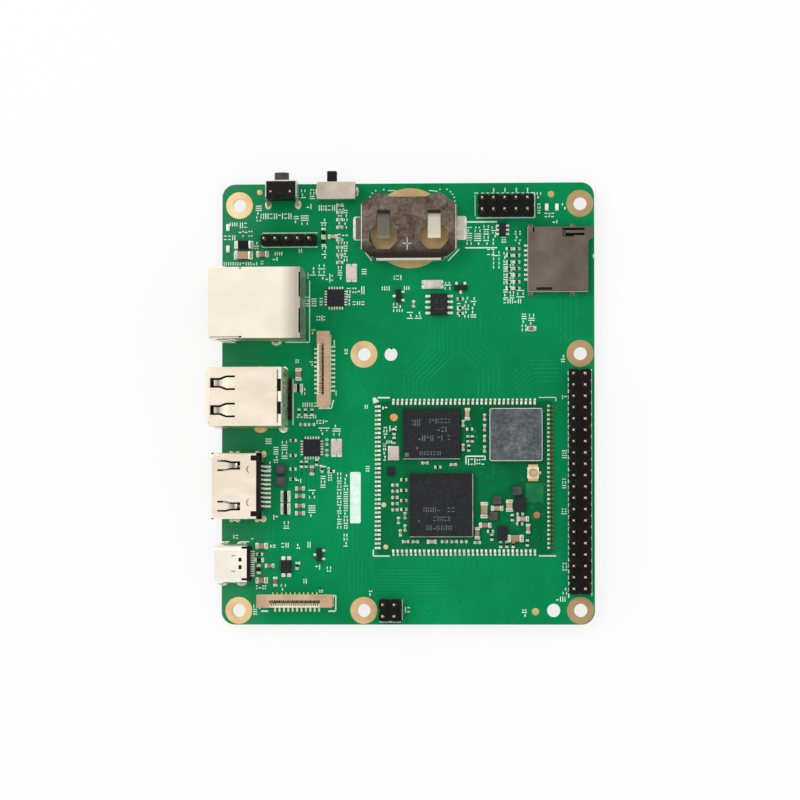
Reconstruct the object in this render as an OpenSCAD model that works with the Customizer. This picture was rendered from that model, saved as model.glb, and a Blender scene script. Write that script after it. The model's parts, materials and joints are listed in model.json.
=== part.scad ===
// Industrial computer board: a carrier board with a soldered compute module,
// its sockets, switches, pin headers and a coin cell clip.
// The origin is the centre of the four outer mounting holes on the underside
// of the board. X runs towards the long pin header, Y towards the switches.

/* [Carrier board] */
// Width of the board along X
board_w = 84.5; // [80:0.5:92]
// Length of the board along Y
board_l = 100; // [92:0.5:108]
// Thickness of the board
board_t = 1.6; // [1:0.1:2.4]
// Radius of the board's corners
board_corner_r = 3; // [1:0.5:3.5]
// From the left edge to the nearest hole centres
hole_inset_x = 3.9; // [3.4:0.1:4.2]
// From the lower edge to the nearest hole centres
hole_inset_y = 3.2; // [3.1:0.1:4]
// Length of pins and legs below the board
tail_l = 1.4; // [0.8:0.1:2]

/* [Mounting holes] */
// Distance of the outer holes along X on a board of the drawn width
hole_span_x = 77.4; // [76.8:0.1:77.6]
// Distance of the outer holes along Y on a board of the drawn length
hole_span_y = 92; // [91.5:0.1:92.6]
// Distance of the add-on board's holes along X
addon_span_x = 49; // [47:0.5:51]
// Distance of the add-on board's holes along Y
addon_span_y = 58; // [57:0.5:59]
// Distance of the two heatsink pin holes along X
sink_span_x = 36.8; // [35:0.1:38]
// Radius of the holes
hole_r = 1.5; // [1.2:0.05:1.7]
// Radius of the copper rings round the holes
ring_r = 3.05; // [2.5:0.05:3.1]
// Thickness of copper and plating
plating_t = 0.05; // [0.03:0.01:0.1]

/* [Compute module] */
// Centre of the module along X
module_x = 12.45; // [12:0.05:13]
// Centre of the module along Y
module_y = -15.9; // [-16.5:0.1:-15]
// Width of the module along X
module_w = 39; // [38:0.5:40]
// Length of the module along Y
module_l = 34; // [33.6:0.1:35]
// Thickness of the module's board
module_t = 1.2; // [0.8:0.1:1.6]
// Distance between neighbouring edge contacts
edge_pitch = 1; // [0.9:0.05:1]
// Edge contacts on each side
edge_count = 33; // [20:1:33]
// Radius of the half-round edge contacts
edge_hole_r = 0.28; // [0.2:0.02:0.36]
// Reach of the solder outside the module
solder_reach = 0.75; // [0.5:0.05:1]
// Side of the processor
cpu_w = 14.5; // [12:0.5:15]
// Height of the processor
cpu_h = 1.3; // [0.8:0.1:2]
// Width of the memory chip
ram_w = 13; // [10:0.5:13.5]
// Length of the memory chip
ram_l = 11.5; // [9:0.5:12]
// Height of the memory chip
ram_h = 1; // [0.7:0.1:1.4]
// Side of the radio's shield can
can_w = 12; // [10:0.5:12.5]
// Height of the shield can
can_h = 1.6; // [1.3:0.1:2.5]
// Sheet of the shield can
can_sheet = 0.15; // [0.1:0.05:0.25]

/* [Network jack] */
// Centre of the jack along the left edge
net_y = 23; // [22.5:0.1:23.5]
// Overhang beyond the board's edge
net_over = 1.8; // [0.5:0.1:3]
// Depth of the jack
net_l = 21; // [20:0.5:22]
// Width of the jack
net_w = 16; // [15:0.5:17]
// Height of the jack
net_h = 13.4; // [13:0.1:14.5]
// Sheet of the shield
net_sheet = 0.25; // [0.2:0.05:0.35]
// Width of the plug cavity
net_port_w = 11.9; // [11.6:0.1:12.4]
// Height of the plug cavity
net_port_h = 7.1; // [6.8:0.1:7.3]
// Height of the cavity's floor above the board
net_port_z = 3; // [2.8:0.1:3.2]
// Depth of the plug cavity
net_port_l = 14; // [12:0.5:14.5]
// Side of a contact wire
net_wire = 0.35; // [0.25:0.05:0.45]
// Distance between contact wires
net_pitch = 1.02; // [0.9:0.02:1.1]
// Radius of the locating pegs
net_peg_r = 1.6; // [1.2:0.1:1.7]

/* [Double host socket] */
// Centre of the socket along the left edge
usb_y = 1.8; // [1.3:0.1:2.3]
// Overhang beyond the board's edge
usb_over = 2.2; // [1:0.1:3]
// Depth of the socket
usb_l = 17.4; // [16.8:0.1:18]
// Width of the socket
usb_w = 13.2; // [13:0.1:14]
// Height of the socket
usb_h = 15.6; // [15.4:0.1:16.5]
// Sheet of the shell
usb_sheet = 0.3; // [0.2:0.05:0.35]
// Width of a port
usb_port_w = 12.3; // [12:0.1:12.4]
// Height of a port
usb_port_h = 5.1; // [4.8:0.1:5.2]
// Height of the lower port's centre
usb_port_z = 4.4; // [4.2:0.1:4.5]
// Distance between the ports
usb_port_pitch = 8; // [7.8:0.1:8.2]
// Thickness of a tongue
usb_tongue_t = 1.84; // [1.6:0.02:1.9]

/* [Video socket] */
// Centre of the socket along the left edge
vid_y = -17.95; // [-18.5:0.05:-17.5]
// Overhang beyond the board's edge
vid_over = 1.8; // [1:0.1:2.5]
// Length of the shell
vid_l = 10.2; // [10:0.1:11]
// Width of the shell
vid_w = 15; // [14.6:0.1:15.4]
// Height of the shell's top above the board
vid_h = 6.1; // [6:0.1:6.6]
// Sheet of the shell
vid_sheet = 0.3; // [0.2:0.05:0.35]
// Distance between contacts in one row
vid_pitch = 1; // [0.9:0.05:1.05]

/* [Power socket] */
// Centre of the socket along the left edge
pow_y = -35.4; // [-36:0.1:-35]
// Overhang beyond the board's edge
pow_over = 1.3; // [0.8:0.1:2]
// Length of the shell
pow_l = 7.3; // [7:0.1:8]
// Width of the shell
pow_w = 8.94; // [8.8:0.02:9.2]
// Height of the shell
pow_h = 3.26; // [3.1:0.02:3.5]
// Sheet of the shell
pow_sheet = 0.3; // [0.2:0.05:0.35]
// Thickness of the tongue
pow_tongue_t = 0.7; // [0.6:0.02:0.8]

/* [Reset button] */
// Centre of the button along the upper edge
reset_x = -28.7; // [-29.2:0.1:-28]
// Width of the case
reset_w = 6.5; // [6:0.1:7]
// Depth of the case
reset_l = 3.9; // [3.7:0.1:4.5]
// Height of the case above the board
reset_h = 6.5; // [6.2:0.1:7]
// Height of the plunger's axis above the board
reset_axis_z = 3.6; // [3.4:0.1:3.8]
// Radius of the plunger
reset_plunger_r = 1.65; // [1.2:0.05:1.8]
// Reach of the plunger beyond its bracket
reset_plunger_l = 1.8; // [1:0.1:3]
// Travel of the plunger
reset_travel = 0.25; // [0.15:0.05:0.3]
// Sheet of the bracket
reset_sheet = 0.3; // [0.2:0.05:0.4]

/* [Slide switch] */
// Centre of the switch along the upper edge
slide_x = -16.4; // [-16.8:0.1:-16]
// Width of the cover
slide_w = 8.7; // [8.5:0.1:9]
// Depth of the cover
slide_l = 3.9; // [3.7:0.1:4.4]
// Height of the cover above the board
slide_h = 3.7; // [3.5:0.1:4.2]
// Sheet of the cover
slide_sheet = 0.25; // [0.15:0.05:0.3]
// Width of the knob
knob_w = 2.2; // [1.8:0.1:2.3]
// Reach of the knob beyond the cover
knob_l = 2.2; // [1:0.1:3]
// Thickness of the knob
knob_h = 1.5; // [1.2:0.1:1.6]
// Travel of the knob
knob_travel = 2; // [1.5:0.1:2.2]

/* [Coin cell clip] */
// Centre of the clip along X
coin_x = 0.15; // [0:0.05:0.4]
// Centre of the clip along Y
coin_y = 40.6; // [40.2:0.1:41]
// Width of the clip over its side walls
clip_w = 21.7; // [21.4:0.1:22]
// Length of the clip's straight sides
clip_side_l = 10; // [9.6:0.1:11]
// Length of the clip over its corners
clip_l = 15.4; // [15:0.1:16.5]
// Height of the clip's top above the board
clip_h = 4.6; // [4.3:0.1:5]
// Sheet of the clip
clip_sheet = 0.4; // [0.3:0.05:0.45]
// Width of a sprung finger
finger_w = 2.9; // [2:0.05:3.1]
// Drop of a finger's tip below the plate
finger_drop = 1.1; // [0.6:0.1:1.4]
// Radius of the round pad under the cell
pad_r = 9.1; // [8.5:0.1:9.2]

/* [Memory card socket] */
// Centre of the socket along the right edge
card_y = 33.2; // [33:0.1:33.6]
// From the board's edge to the socket's mouth
card_in = 0.2; // [0:0.1:0.5]
// Depth of the shell
card_l = 14.8; // [14.5:0.1:15.2]
// Width of the shell
card_w = 14.8; // [14.6:0.1:15.2]
// Height of the shell
card_h = 1.9; // [1.85:0.05:2.2]
// Sheet of the shell
card_sheet = 0.2; // [0.15:0.05:0.22]
// Distance between contacts
card_pitch = 1.1; // [1:0.05:1.15]
// Travel of the card slider
card_travel = 1.4; // [0.8:0.1:1.6]
// Radius of the slider's coil spring
spring_r = 0.42; // [0.35:0.01:0.45]

/* [Pin headers] */
// Distance between pins
pin_pitch = 2.54; // [2.5:0.01:2.6]
// Side of a pin
pin_w = 0.64; // [0.5:0.02:0.7]
// Height of a header's plastic base
header_h = 2.54; // [2:0.02:3]
// Height of the pin tips above the board
pin_top = 8.5; // [6:0.1:12]
// Corner notch between two ways of a base
notch = 0.4; // [0.2:0.05:0.6]

/* [Flat cable sockets] */
// Length of the housing
rib_l = 15.8; // [15.4:0.1:16.4]
// Width of the housing
rib_w = 2.9; // [2.8:0.1:3.2]
// Height of the housing
rib_h = 3.4; // [3:0.1:4]
// Thickness of the slide lock's top
lock_t = 0.8; // [0.5:0.1:1.2]
// Lift of the slide lock
lock_lift = 1; // [0.6:0.1:1.4]
// Distance between contacts
rib_pitch = 0.5; // [0.45:0.01:0.52]
// Number of contacts
rib_count = 22; // [12:2:22]

/* [Small parts] */
// Thickness of a lead
lead_t = 0.18; // [0.1:0.02:0.25]
// Height of the flat chips
qfn_h = 0.9; // [0.6:0.1:1.2]
// Height of the leaded chip's body
soic_h = 1.4; // [1.2:0.1:1.8]

/* [Hidden] */
$fn = 48;
eps = 0.01;
// The holes and places on the board are given for this width and length. On
// another board those near the edges keep their distance from the edge.
drawn_w = 84.5;
drawn_l = 100;
hole_x = (hole_span_x + board_w - drawn_w) / 2;
hole_y = (hole_span_y + board_l - drawn_l) / 2;
edge_zone = 24;
function lay_x(x) = x + (board_w - drawn_w) / 2 * max(-1, min(1, x / edge_zone));
function lay_y(y) = y * board_l / drawn_l;
addon_w = addon_span_x * board_w / drawn_w;
sink_w = sink_span_x * board_w / drawn_w;
board_x0 = -hole_x - hole_inset_x;
board_y0 = -hole_y - hole_inset_y;
board_x1 = board_x0 + board_w;
board_y1 = board_y0 + board_l;
addon_x = hole_x - addon_w / 2;
addon_y = addon_span_y / 2 - hole_y;
plated_spots = [
    [-hole_x, -hole_y], [-hole_x, hole_y], [hole_x, hole_y], [hole_x, -hole_y],
    [hole_x - addon_w, -hole_y], [hole_x - addon_w, addon_span_y - hole_y],
    [hole_x, addon_span_y - hole_y]
];
sink_spots = [
    [addon_x - sink_w / 2, addon_span_y - hole_y],
    [addon_x + sink_w / 2, -hole_y]
];
tail_z = -board_t - tail_l;

// A band of constant thickness along a bent line
function unit(v) = v / norm(v);
function leftward(v) = [-v[1], v[0]];
function mitre(p, i) =
    let (n = len(p),
         a = i > 0 ? unit(p[i] - p[i - 1]) : unit(p[1] - p[0]),
         b = i < n - 1 ? unit(p[i + 1] - p[i]) : unit(p[n - 1] - p[n - 2]),
         m = unit(leftward(a) + leftward(b)))
    m / (m * leftward(a));
function band(p, t) = concat(
    [for (i = [0:len(p) - 1]) p[i] + mitre(p, i) * t / 2],
    [for (i = [len(p) - 1:-1:0]) p[i] - mitre(p, i) * t / 2]);
function arc(c, r, a0, a1, n = 4) =
    [for (i = [0:n]) c + r * [cos(a0 + (a1 - a0) * i / n), sin(a0 + (a1 - a0) * i / n)]];

// Sheet or wire bent in the XZ plane, w wide along Y
module bent(path, t, w) rotate([90, 0, 0]) linear_extrude(w, center = true) polygon(band(path, t));
// Sheet bent in the YZ plane, l long along X from x0
module folded(path, t, x0, l) translate([x0, 0, 0]) rotate([90, 0, 90]) linear_extrude(l) polygon(band(path, t));
// Block between two corners
module block(a, b) translate(a) cube(b - a);
module rounded(w, l, r) {
    square([w - 2 * r, l], center = true);
    square([w, l - 2 * r], center = true);
    for (x = [-1, 1], y = [-1, 1]) translate([x * (w / 2 - r), y * (l / 2 - r)]) circle(r);
}
// Slot with round ends, l long along X
module slot(l, w) {
    square([l - w, w], center = true);
    for (x = [-1, 1]) translate([x * (l - w) / 2, 0]) circle(w / 2);
}

// Places of the parts on the board's edges: the mouth is at x = 0 and faces outwards
module at_left(y, over, z = board_t) translate([board_x0 - over, lay_y(y), z]) children();
module at_top(x, over, z = board_t) translate([lay_x(x), board_y1 + over, z]) rotate(-90) children();
module at_right(y, in, z = board_t) translate([board_x1 - in, lay_y(y), z]) rotate(180) children();
module on_board(x, y, a = 0, z = board_t) translate([lay_x(x), lay_y(y), z]) rotate(a) children();
module at_module(z = board_t) translate([lay_x(module_x), lay_y(module_y), z]) children();
module on_module(x, y, a = 0) at_module(board_t + module_t) translate([x, y]) rotate(a) children();

// Sprung tongue cut out of a sheet: tip at x = 0, root at x = l
function tongue_edge(l, root, tip) = [
    [0, -tip / 2], [l * 0.4, -tip / 2], [l * 0.65, -root / 2], [l, -root / 2],
    [l, root / 2], [l * 0.65, root / 2], [l * 0.4, tip / 2], [0, tip / 2]
];
module tongue_gap(l, root, tip, gap) polygon([for (p = tongue_edge(l, root, tip)) p]);
module tongue(l, root, tip, gap, tip_gap, t, dip) intersection() {
    bent([[tip_gap, -dip * 0.55], [tip_gap + 0.9, -dip], [l * 0.9, 0], [l + 0.2, 0]], t, root + 2);
    translate([0, 0, -dip - 2]) linear_extrude(dip + 4)
        polygon([for (p = tongue_edge(l, root, tip)) [p[0] * (1 + 0.2 / l), p[1] - sign(p[1]) * gap]]);
}

// Carrier board

// Drilled and slotted holes of each part
net_leg_x = 14.2;
net_leg_y = net_w / 2 - net_sheet / 2 + 0.3;
net_peg_x = 6.9;
net_peg_y = 5.72;
net_pin_w = 0.46;
net_pins = concat(
    [for (i = [0:7]) [9.6 + (i % 2) * 2.54, (i - 3.5) * 1.27]],
    [for (y = [-6.6, -4.1, 4.1, 6.6]) [16.6, y]]);
usb_ys = [-3.5, -1, 1, 3.5];
usb_tail_x = [13.2, 15.82];
usb_leg_x = [11, 16.2];
usb_leg_y = usb_w / 2 - usb_sheet / 2;
vid_leg_x = [4.7, 10.6];
vid_leg_y = vid_w / 2 - vid_sheet / 2;
pow_leg_x = [1.6, 5.8];
pow_leg_y = pow_w / 2 - pow_sheet / 2;
reset_leg_x = 5.1;
reset_leg_y = reset_w / 2 + reset_sheet / 2;
reset_pin_x = 2.6;
reset_pin_y = 2.25;
slide_pin_x = slide_l / 2;
slide_pins = [-2.5, 0, 2.5];
slide_leg_y = slide_w / 2 - slide_sheet / 2;
drill_gap = 0.13;

// Corner of each header's grid, columns, rows
long_rows = min(20, floor((addon_span_y - 2 * ring_r) / pin_pitch));
long_header = [hole_x - pin_pitch, addon_y - long_rows / 2 * pin_pitch, 2, long_rows];
ten_way = [lay_x(15.7), lay_y(45.5) - pin_pitch, 5, 2];
five_way = [lay_x(-27.3) - 2.5 * pin_pitch, lay_y(37.9) - pin_pitch / 2, 5, 1];
four_way = [lay_x(-6.74), lay_y(-46) - pin_pitch, 2, 2];

module header_drills(h) translate([h[0], h[1]])
    for (i = [0:h[2] - 1], j = [0:h[3] - 1])
        translate([(i + 0.5) * pin_pitch, (j + 0.5) * pin_pitch]) circle(pin_w * 0.71 + drill_gap / 2);

module net_drills() {
    for (y = [-1, 1]) {
        translate([net_peg_x, y * net_peg_y]) circle(net_peg_r + 0.05);
        translate([net_leg_x, y * net_leg_y]) circle(0.85);
    }
    for (p = net_pins) translate(p) circle(net_pin_w * 0.71 + drill_gap);
}
module usb_drills() {
    for (x = usb_tail_x, y = usb_ys) translate([x, y]) circle(0.46);
    for (x = usb_leg_x, y = [-1, 1]) translate([x, y * usb_leg_y]) circle(1.1);
}
module vid_drills() for (x = vid_leg_x, y = [-1, 1]) translate([x, y * vid_leg_y]) slot(2.4, 0.9);
module pow_drills() for (x = pow_leg_x, y = [-1, 1]) translate([x, y * pow_leg_y]) slot(1.7, 0.8);
module reset_drills() {
    for (y = [-1, 1]) {
        translate([reset_leg_x, y * reset_leg_y]) circle(0.7);
        translate([reset_pin_x, y * reset_pin_y]) circle(0.5);
    }
}
module slide_drills() {
    for (y = slide_pins) translate([slide_pin_x, y]) circle(0.45);
    for (y = [-1, 1]) translate([slide_pin_x, y * slide_leg_y]) slot(1.8, 0.7);
}

module carrier_board() color("SeaGreen") linear_extrude(board_t) difference() {
    translate([(board_x0 + board_x1) / 2, (board_y0 + board_y1) / 2]) rounded(board_w, board_l, board_corner_r);
    for (p = plated_spots) translate(p) circle(hole_r + plating_t);
    for (p = sink_spots) translate(p) circle(hole_r);
    for (h = [long_header, ten_way, five_way, four_way]) header_drills(h);
    at_left(net_y, net_over, 0) net_drills();
    at_left(usb_y, usb_over, 0) usb_drills();
    at_left(vid_y, vid_over, 0) vid_drills();
    at_left(pow_y, pow_over, 0) pow_drills();
    at_top(reset_x, 0.4, 0) reset_drills();
    at_top(slide_x, 0.2, 0) slide_drills();
}

module mounting_rings() color("Goldenrod") for (p = plated_spots) translate(p)
    rotate_extrude() polygon([
        [hole_r, -plating_t], [ring_r, -plating_t], [ring_r, 0], [hole_r + plating_t, 0],
        [hole_r + plating_t, board_t], [ring_r, board_t], [ring_r, board_t + plating_t],
        [hole_r, board_t + plating_t]]);

// Coin cell clip

module coin_cell_pad() color("Goldenrod") on_board(coin_x, coin_y) cylinder(r = pad_r, h = plating_t);

clip_x = clip_w / 2;
clip_cut = 3.5;
clip_waist_x = 4.2;
clip_waist_y = clip_l / 2 - 0.9;
window_x = 5.75;
window_top = 4.4;
foot_w = 5;
ear_y = clip_l / 2;
ear_x = clip_x - clip_cut;
lip_y = ear_y - 0.9;
lip_x = clip_x - clip_cut * (lip_y - clip_side_l / 2) / (ear_y - clip_side_l / 2);
module clip_outline() polygon([
    [lip_x, -lip_y], [clip_x, -clip_side_l / 2], [clip_x, clip_side_l / 2], [ear_x, ear_y],
    [clip_waist_x + 0.8, ear_y - 0.3], [clip_waist_x, clip_waist_y],
    [-clip_waist_x, clip_waist_y], [-clip_waist_x - 0.8, ear_y - 0.3],
    [-ear_x, ear_y], [-clip_x, clip_side_l / 2], [-clip_x, -clip_side_l / 2], [-lip_x, -lip_y]]);
clip_corner = [[clip_x - 0.1, -clip_side_l / 2], [clip_x - clip_cut + 0.1, -clip_l / 2]];
module clip_window() polygon([
    [-1.68, window_top], [1.68, window_top], [1.68, 0.5], [3.15, -0.95], [3.15, -3.2], [1.5, -5.05],
    [-1.5, -5.05], [-3.15, -3.2], [-3.15, -0.95], [-1.68, 0.5]]);
module coin_cell_clip() color("DimGray") on_board(coin_x, coin_y) {
    mid = clip_h - clip_sheet / 2;
    difference() {
        union() {
            translate([0, 0, clip_h - clip_sheet]) linear_extrude(clip_sheet) clip_outline();
            // side walls with feet turned outwards
            for (s = [-1, 1]) {
                block([s * clip_x - (s > 0 ? clip_sheet : 0), -clip_side_l / 2, 0.6],
                      [s * clip_x + (s > 0 ? 0 : clip_sheet), clip_side_l / 2, clip_h]);
                rotate(s > 0 ? 0 : 180) rotate([90, 0, 0]) linear_extrude(foot_w, center = true)
                    polygon(band(concat(
                        [[clip_x - clip_sheet / 2, 1]],
                        arc([clip_x + 0.4 - clip_sheet / 2, 0.4 + clip_sheet / 2], 0.4, 180, 270),
                        [[clip_x + 1.45, clip_sheet / 2]]), clip_sheet));
                // corner walls that stop the cell
                mirror([s > 0 ? 0 : 1, 0, 0]) translate([0, 0, 1.2]) linear_extrude(mid - 1.2)
                    polygon(band([for (p = clip_corner) p - unit(leftward(clip_corner[1] - clip_corner[0]))
                        * (clip_sheet / 2 + 0.03)], clip_sheet));
            }
            // rolled lip on the inner side
            rotate(90) bent(concat([[-lip_y + 0.4, mid]],
                arc([-lip_y, mid - 0.8], 0.8, 90, 160)), clip_sheet, 2 * ear_x);
        }
        for (s = [-1, 1]) translate([s * window_x, 0, clip_h - clip_sheet - 1]) linear_extrude(3) clip_window();
        // solder openings at the bend of each foot
        for (s = [-1, 1], y = [-1, 1]) translate([s * (clip_x + 0.1), y * 1.25, 0.5])
            cube([1.4, 1.1, 0.7], center = true);
    }
    for (s = [-1, 1]) translate([s * window_x, 0, 0]) rotate(90)
        bent(concat([[window_top + 0.3, mid], [window_top - 0.2, mid]],
            [[window_top - 1.6, mid - finger_drop * 0.55], [-1.5, mid - finger_drop], [-2.6, mid - finger_drop * 0.7]]),
            clip_sheet, finger_w);
}

// Compute module

edge_x = module_w / 2;
edge_y = module_l / 2;
edge_at = [for (i = [0:edge_count - 1]) (i - (edge_count - 1) / 2) * edge_pitch];
module on_edges() for (k = [0:3], a = edge_at)
    at_module(0) rotate(90 * k) translate([k % 2 ? edge_y : edge_x, a]) children();
module module_board() color("ForestGreen") translate([0, 0, board_t]) linear_extrude(module_t) difference() {
    at_module(0) square([module_w, module_l], center = true);
    on_edges() circle(edge_hole_r, $fn = 24);
}
// Solder fillet in each half-round contact, spread on the carrier's pad and the module's own
module module_joints() color("Silver") on_edges() translate([0, 0, board_t]) {
    rotate([90, 0, 0]) linear_extrude(2 * edge_hole_r - 0.06, center = true) polygon([
        [0, 0], [solder_reach, 0], [solder_reach, 0.08], [0.3, 0.35], [0.08, module_t * 0.8],
        [0.04, module_t + 0.04], [-0.65, module_t + 0.04], [-0.65, module_t], [0, module_t]]);
}
cpu_at = [-5.05, -6.4];
ram_at = [-7.25, 9.7];
can_at = [11.85, 9.5];
socket_at = [15.65, 0.9];
// Chip with a thin substrate and a slightly smaller moulded cap
module ball_chip(w, l, h, rim) {
    block([-w / 2, -l / 2, 0], [w / 2, l / 2, h * 0.4]);
    translate([0, 0, h * 0.4]) linear_extrude(h * 0.6) rounded(w - 2 * rim, l - 2 * rim, 0.15);
}
module processor_chip() color([0.14, 0.14, 0.16]) on_module(cpu_at[0], cpu_at[1]) ball_chip(cpu_w, cpu_w, cpu_h, 0.05);
module memory_chip() color([0.14, 0.15, 0.16]) on_module(ram_at[0], ram_at[1]) ball_chip(ram_w, ram_l, ram_h, 0.1);
module radio_chip() color([0.16, 0.16, 0.16]) on_module(can_at[0], can_at[1]) ball_chip(5, 5, 0.9, 0.05);
module shield_can() color("Gainsboro") on_module(can_at[0], can_at[1]) difference() {
    linear_extrude(can_h) rounded(can_w, can_w, 0.5);
    translate([0, 0, -eps]) linear_extrude(can_h - can_sheet + eps)
        rounded(can_w - 2 * can_sheet, can_w - 2 * can_sheet, 0.35);
    // openings along the lower edge
    for (k = [0:3], y = [-1, 1]) rotate(90 * k) translate([can_w / 2 - 0.3, y * can_w * 0.22 - 1, -eps])
        cube([1, 2, 0.35 + eps]);
}
socket_ring_r = 1;
module antenna_socket_base() color("Ivory") on_module(socket_at[0], socket_at[1]) difference() {
    linear_extrude(0.55) rounded(2.6, 2.6, 0.2);
    translate([0, 0, 0.35]) difference() {
        cylinder(r = socket_ring_r, h = 1);
        translate([0, 0, -eps]) cylinder(r = socket_ring_r - 0.35, h = 2);
    }
    translate([0, 0, -eps]) cylinder(r = 0.2, h = 2, $fn = 24);
}
module antenna_socket_metal() color("Gold") on_module(socket_at[0], socket_at[1]) {
    // outer shell with a snap groove
    rotate_extrude() polygon([[0.78, 0.35], [1, 0.35], [1, 0.75], [0.94, 0.85], [1, 0.95], [1, 1.2],
        [0.94, 1.25], [0.78, 1.25]]);
    cylinder(r = 0.2, h = 1.05, $fn = 24);
    for (y = [-1, 1]) translate([0, y * 1.58, 0.1]) cube([2.2, 0.56, 0.2], center = true);
    translate([1.55, 0, 0.1]) cube([0.5, 0.6, 0.2], center = true);
}

// Network jack

net_round = 1.2;
function jack_side(x0, x1, z0, z1, r) =
    concat([[x0, z0], [x0, z1]], arc([x1 - r, z1 - r], r, 90, 0), [[x1, z0]]);
module jack_block(x0, x1, z0, z1, r, w) rotate([90, 0, 0]) linear_extrude(w, center = true)
    polygon(jack_side(x0, x1, z0, z1, r));
net_in_w = net_w - 2 * net_sheet;
net_face = 1;
net_slit_l = 7.3;
module network_shield() color("Cornsilk") at_left(net_y, net_over) {
    difference() {
        jack_block(0, net_l, 0.2, net_h, net_round, net_w);
        jack_block(net_sheet, net_l - net_sheet, -1, net_h - net_sheet, net_round - net_sheet, net_in_w);
        // front frame round the plastic face
        block([-1, -net_w / 2 + net_face, -1], [1, net_w / 2 - net_face, net_h - net_face]);
        // slit that frees the finger panel of each side: along the corner on one
        // side, under it on the other, with a round relief at its end
        block([0.4, -net_w / 2 - 1, net_h - 0.55], [net_slit_l, -net_w / 2 + 0.34, net_h + 1]);
        block([0.4, net_w / 2 - 0.6, net_h - 0.95], [net_slit_l, net_w / 2 + 1, net_h - 0.55]);
        // hook slots at the rear
        for (s = [-1, 1]) {
            translate([net_slit_l, s * (net_w / 2 - 0.17), net_h - 1]) cylinder(r = 0.34, h = 2, $fn = 24);
            translate([net_l - net_sheet - 0.32, s * 4.05 - 2.75, net_h - 1.6]) cube([0.32, 5.5, 3]);
            for (z = [3.6, 8]) translate([1.2, s * net_w / 2, z]) rotate([90, 0, 0])
                translate([0, 0, -1]) linear_extrude(2) tongue_gap(5.6, 2.6, 2.2, 0.3);
        }
    }
    for (s = [-1, 1]) {
        for (z = [3.6, 8]) translate([1.2, s * (net_w / 2 - net_sheet / 2), z]) rotate([s * 90, 0, 0])
            tongue(5.6, 2.6, 2.2, 0.3, 0.3, net_sheet, 0.55);
        // leg with an outward step
        translate([net_leg_x, 0, 0]) rotate(90) bent([
            [s * (net_w / 2 - net_sheet / 2), 2.4], [s * (net_w / 2 - net_sheet / 2), 1.6],
            [s * net_leg_y, 1.1], [s * net_leg_y, tail_z]], net_sheet, 1.1);
    }
}
wire_top = net_port_z + net_port_h;
lamp_z = wire_top + 0.45;
lamp_w = 3;
lamp_h = 2.2;
lamp_y = 5.75;
lamp_l = 5;
module network_housing() color([0.1, 0.1, 0.1]) at_left(net_y, net_over) difference() {
    union() {
        jack_block(net_sheet + 0.05, net_l - net_sheet - 0.1, 0, net_h - net_sheet - 0.05, net_round, net_in_w - 0.1);
        for (s = [-1, 1]) translate([net_peg_x, s * net_peg_y, -board_t - 0.6]) {
            translate([0, 0, 0.3]) cylinder(r = net_peg_r, h = board_t + 1);
            cylinder(r1 = net_peg_r - 0.3, r2 = net_peg_r, h = 0.3);
        }
    }
    // plug cavity with its latch channel
    block([-1, -net_port_w / 2, net_port_z], [net_port_l, net_port_w / 2, wire_top]);
    block([-1, -3.1, net_port_z - 1.3], [net_port_l - 1, 3.1, net_port_z + 1]);
    block([-1, -1.7, net_port_z - 2], [net_port_l - 2, 1.7, net_port_z]);
    for (s = [-1, 1]) translate([0, s * lamp_y, 0])
        block([-1, -lamp_w / 2, lamp_z], [lamp_l, lamp_w / 2, lamp_z + lamp_h]);
    for (p = net_pins) translate([p[0] - net_pin_w / 2, p[1] - net_pin_w / 2, -1])
        cube([net_pin_w, net_pin_w, p[0] > net_port_l ? 4 : net_port_z - 2 + 0.8]);
}
module network_wires() color("Gold") at_left(net_y, net_over) for (i = [0:7])
    translate([0, (i - 3.5) * net_pitch, wire_top - net_wire / 2])
        bent(concat([[net_port_l, 0]], arc([3.4, -0.7], 0.7, 90, 235),
            [[10.4, -2.35]]), net_wire, net_wire);
module network_pins() color("Silver") at_left(net_y, net_over) for (p = net_pins)
    translate([p[0], p[1], 0]) square_pin(tail_z, p[0] > net_port_l ? 3 : net_port_z - 2 - 0.2, net_pin_w, 0.3);
module network_lamps() color("PaleGreen") at_left(net_y, net_over) for (s = [-1, 1])
    translate([0, s * lamp_y, 0])
        block([net_sheet + 0.05, -lamp_w / 2, lamp_z], [lamp_l, lamp_w / 2, lamp_z + lamp_h]);

// Square pin with tapered ends
module square_pin(z0, z1, w, taper) {
    side = [[-w / 2, z0 + taper], [-w / 2, z1 - taper], [-w / 4, z1], [w / 4, z1],
            [w / 2, z1 - taper], [w / 2, z0 + taper], [w / 4, z0], [-w / 4, z0]];
    intersection() {
        rotate([90, 0, 0]) linear_extrude(w, center = true) polygon(side);
        rotate([90, 0, 90]) linear_extrude(w, center = true) polygon(side);
    }
}

// Double host socket

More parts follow.
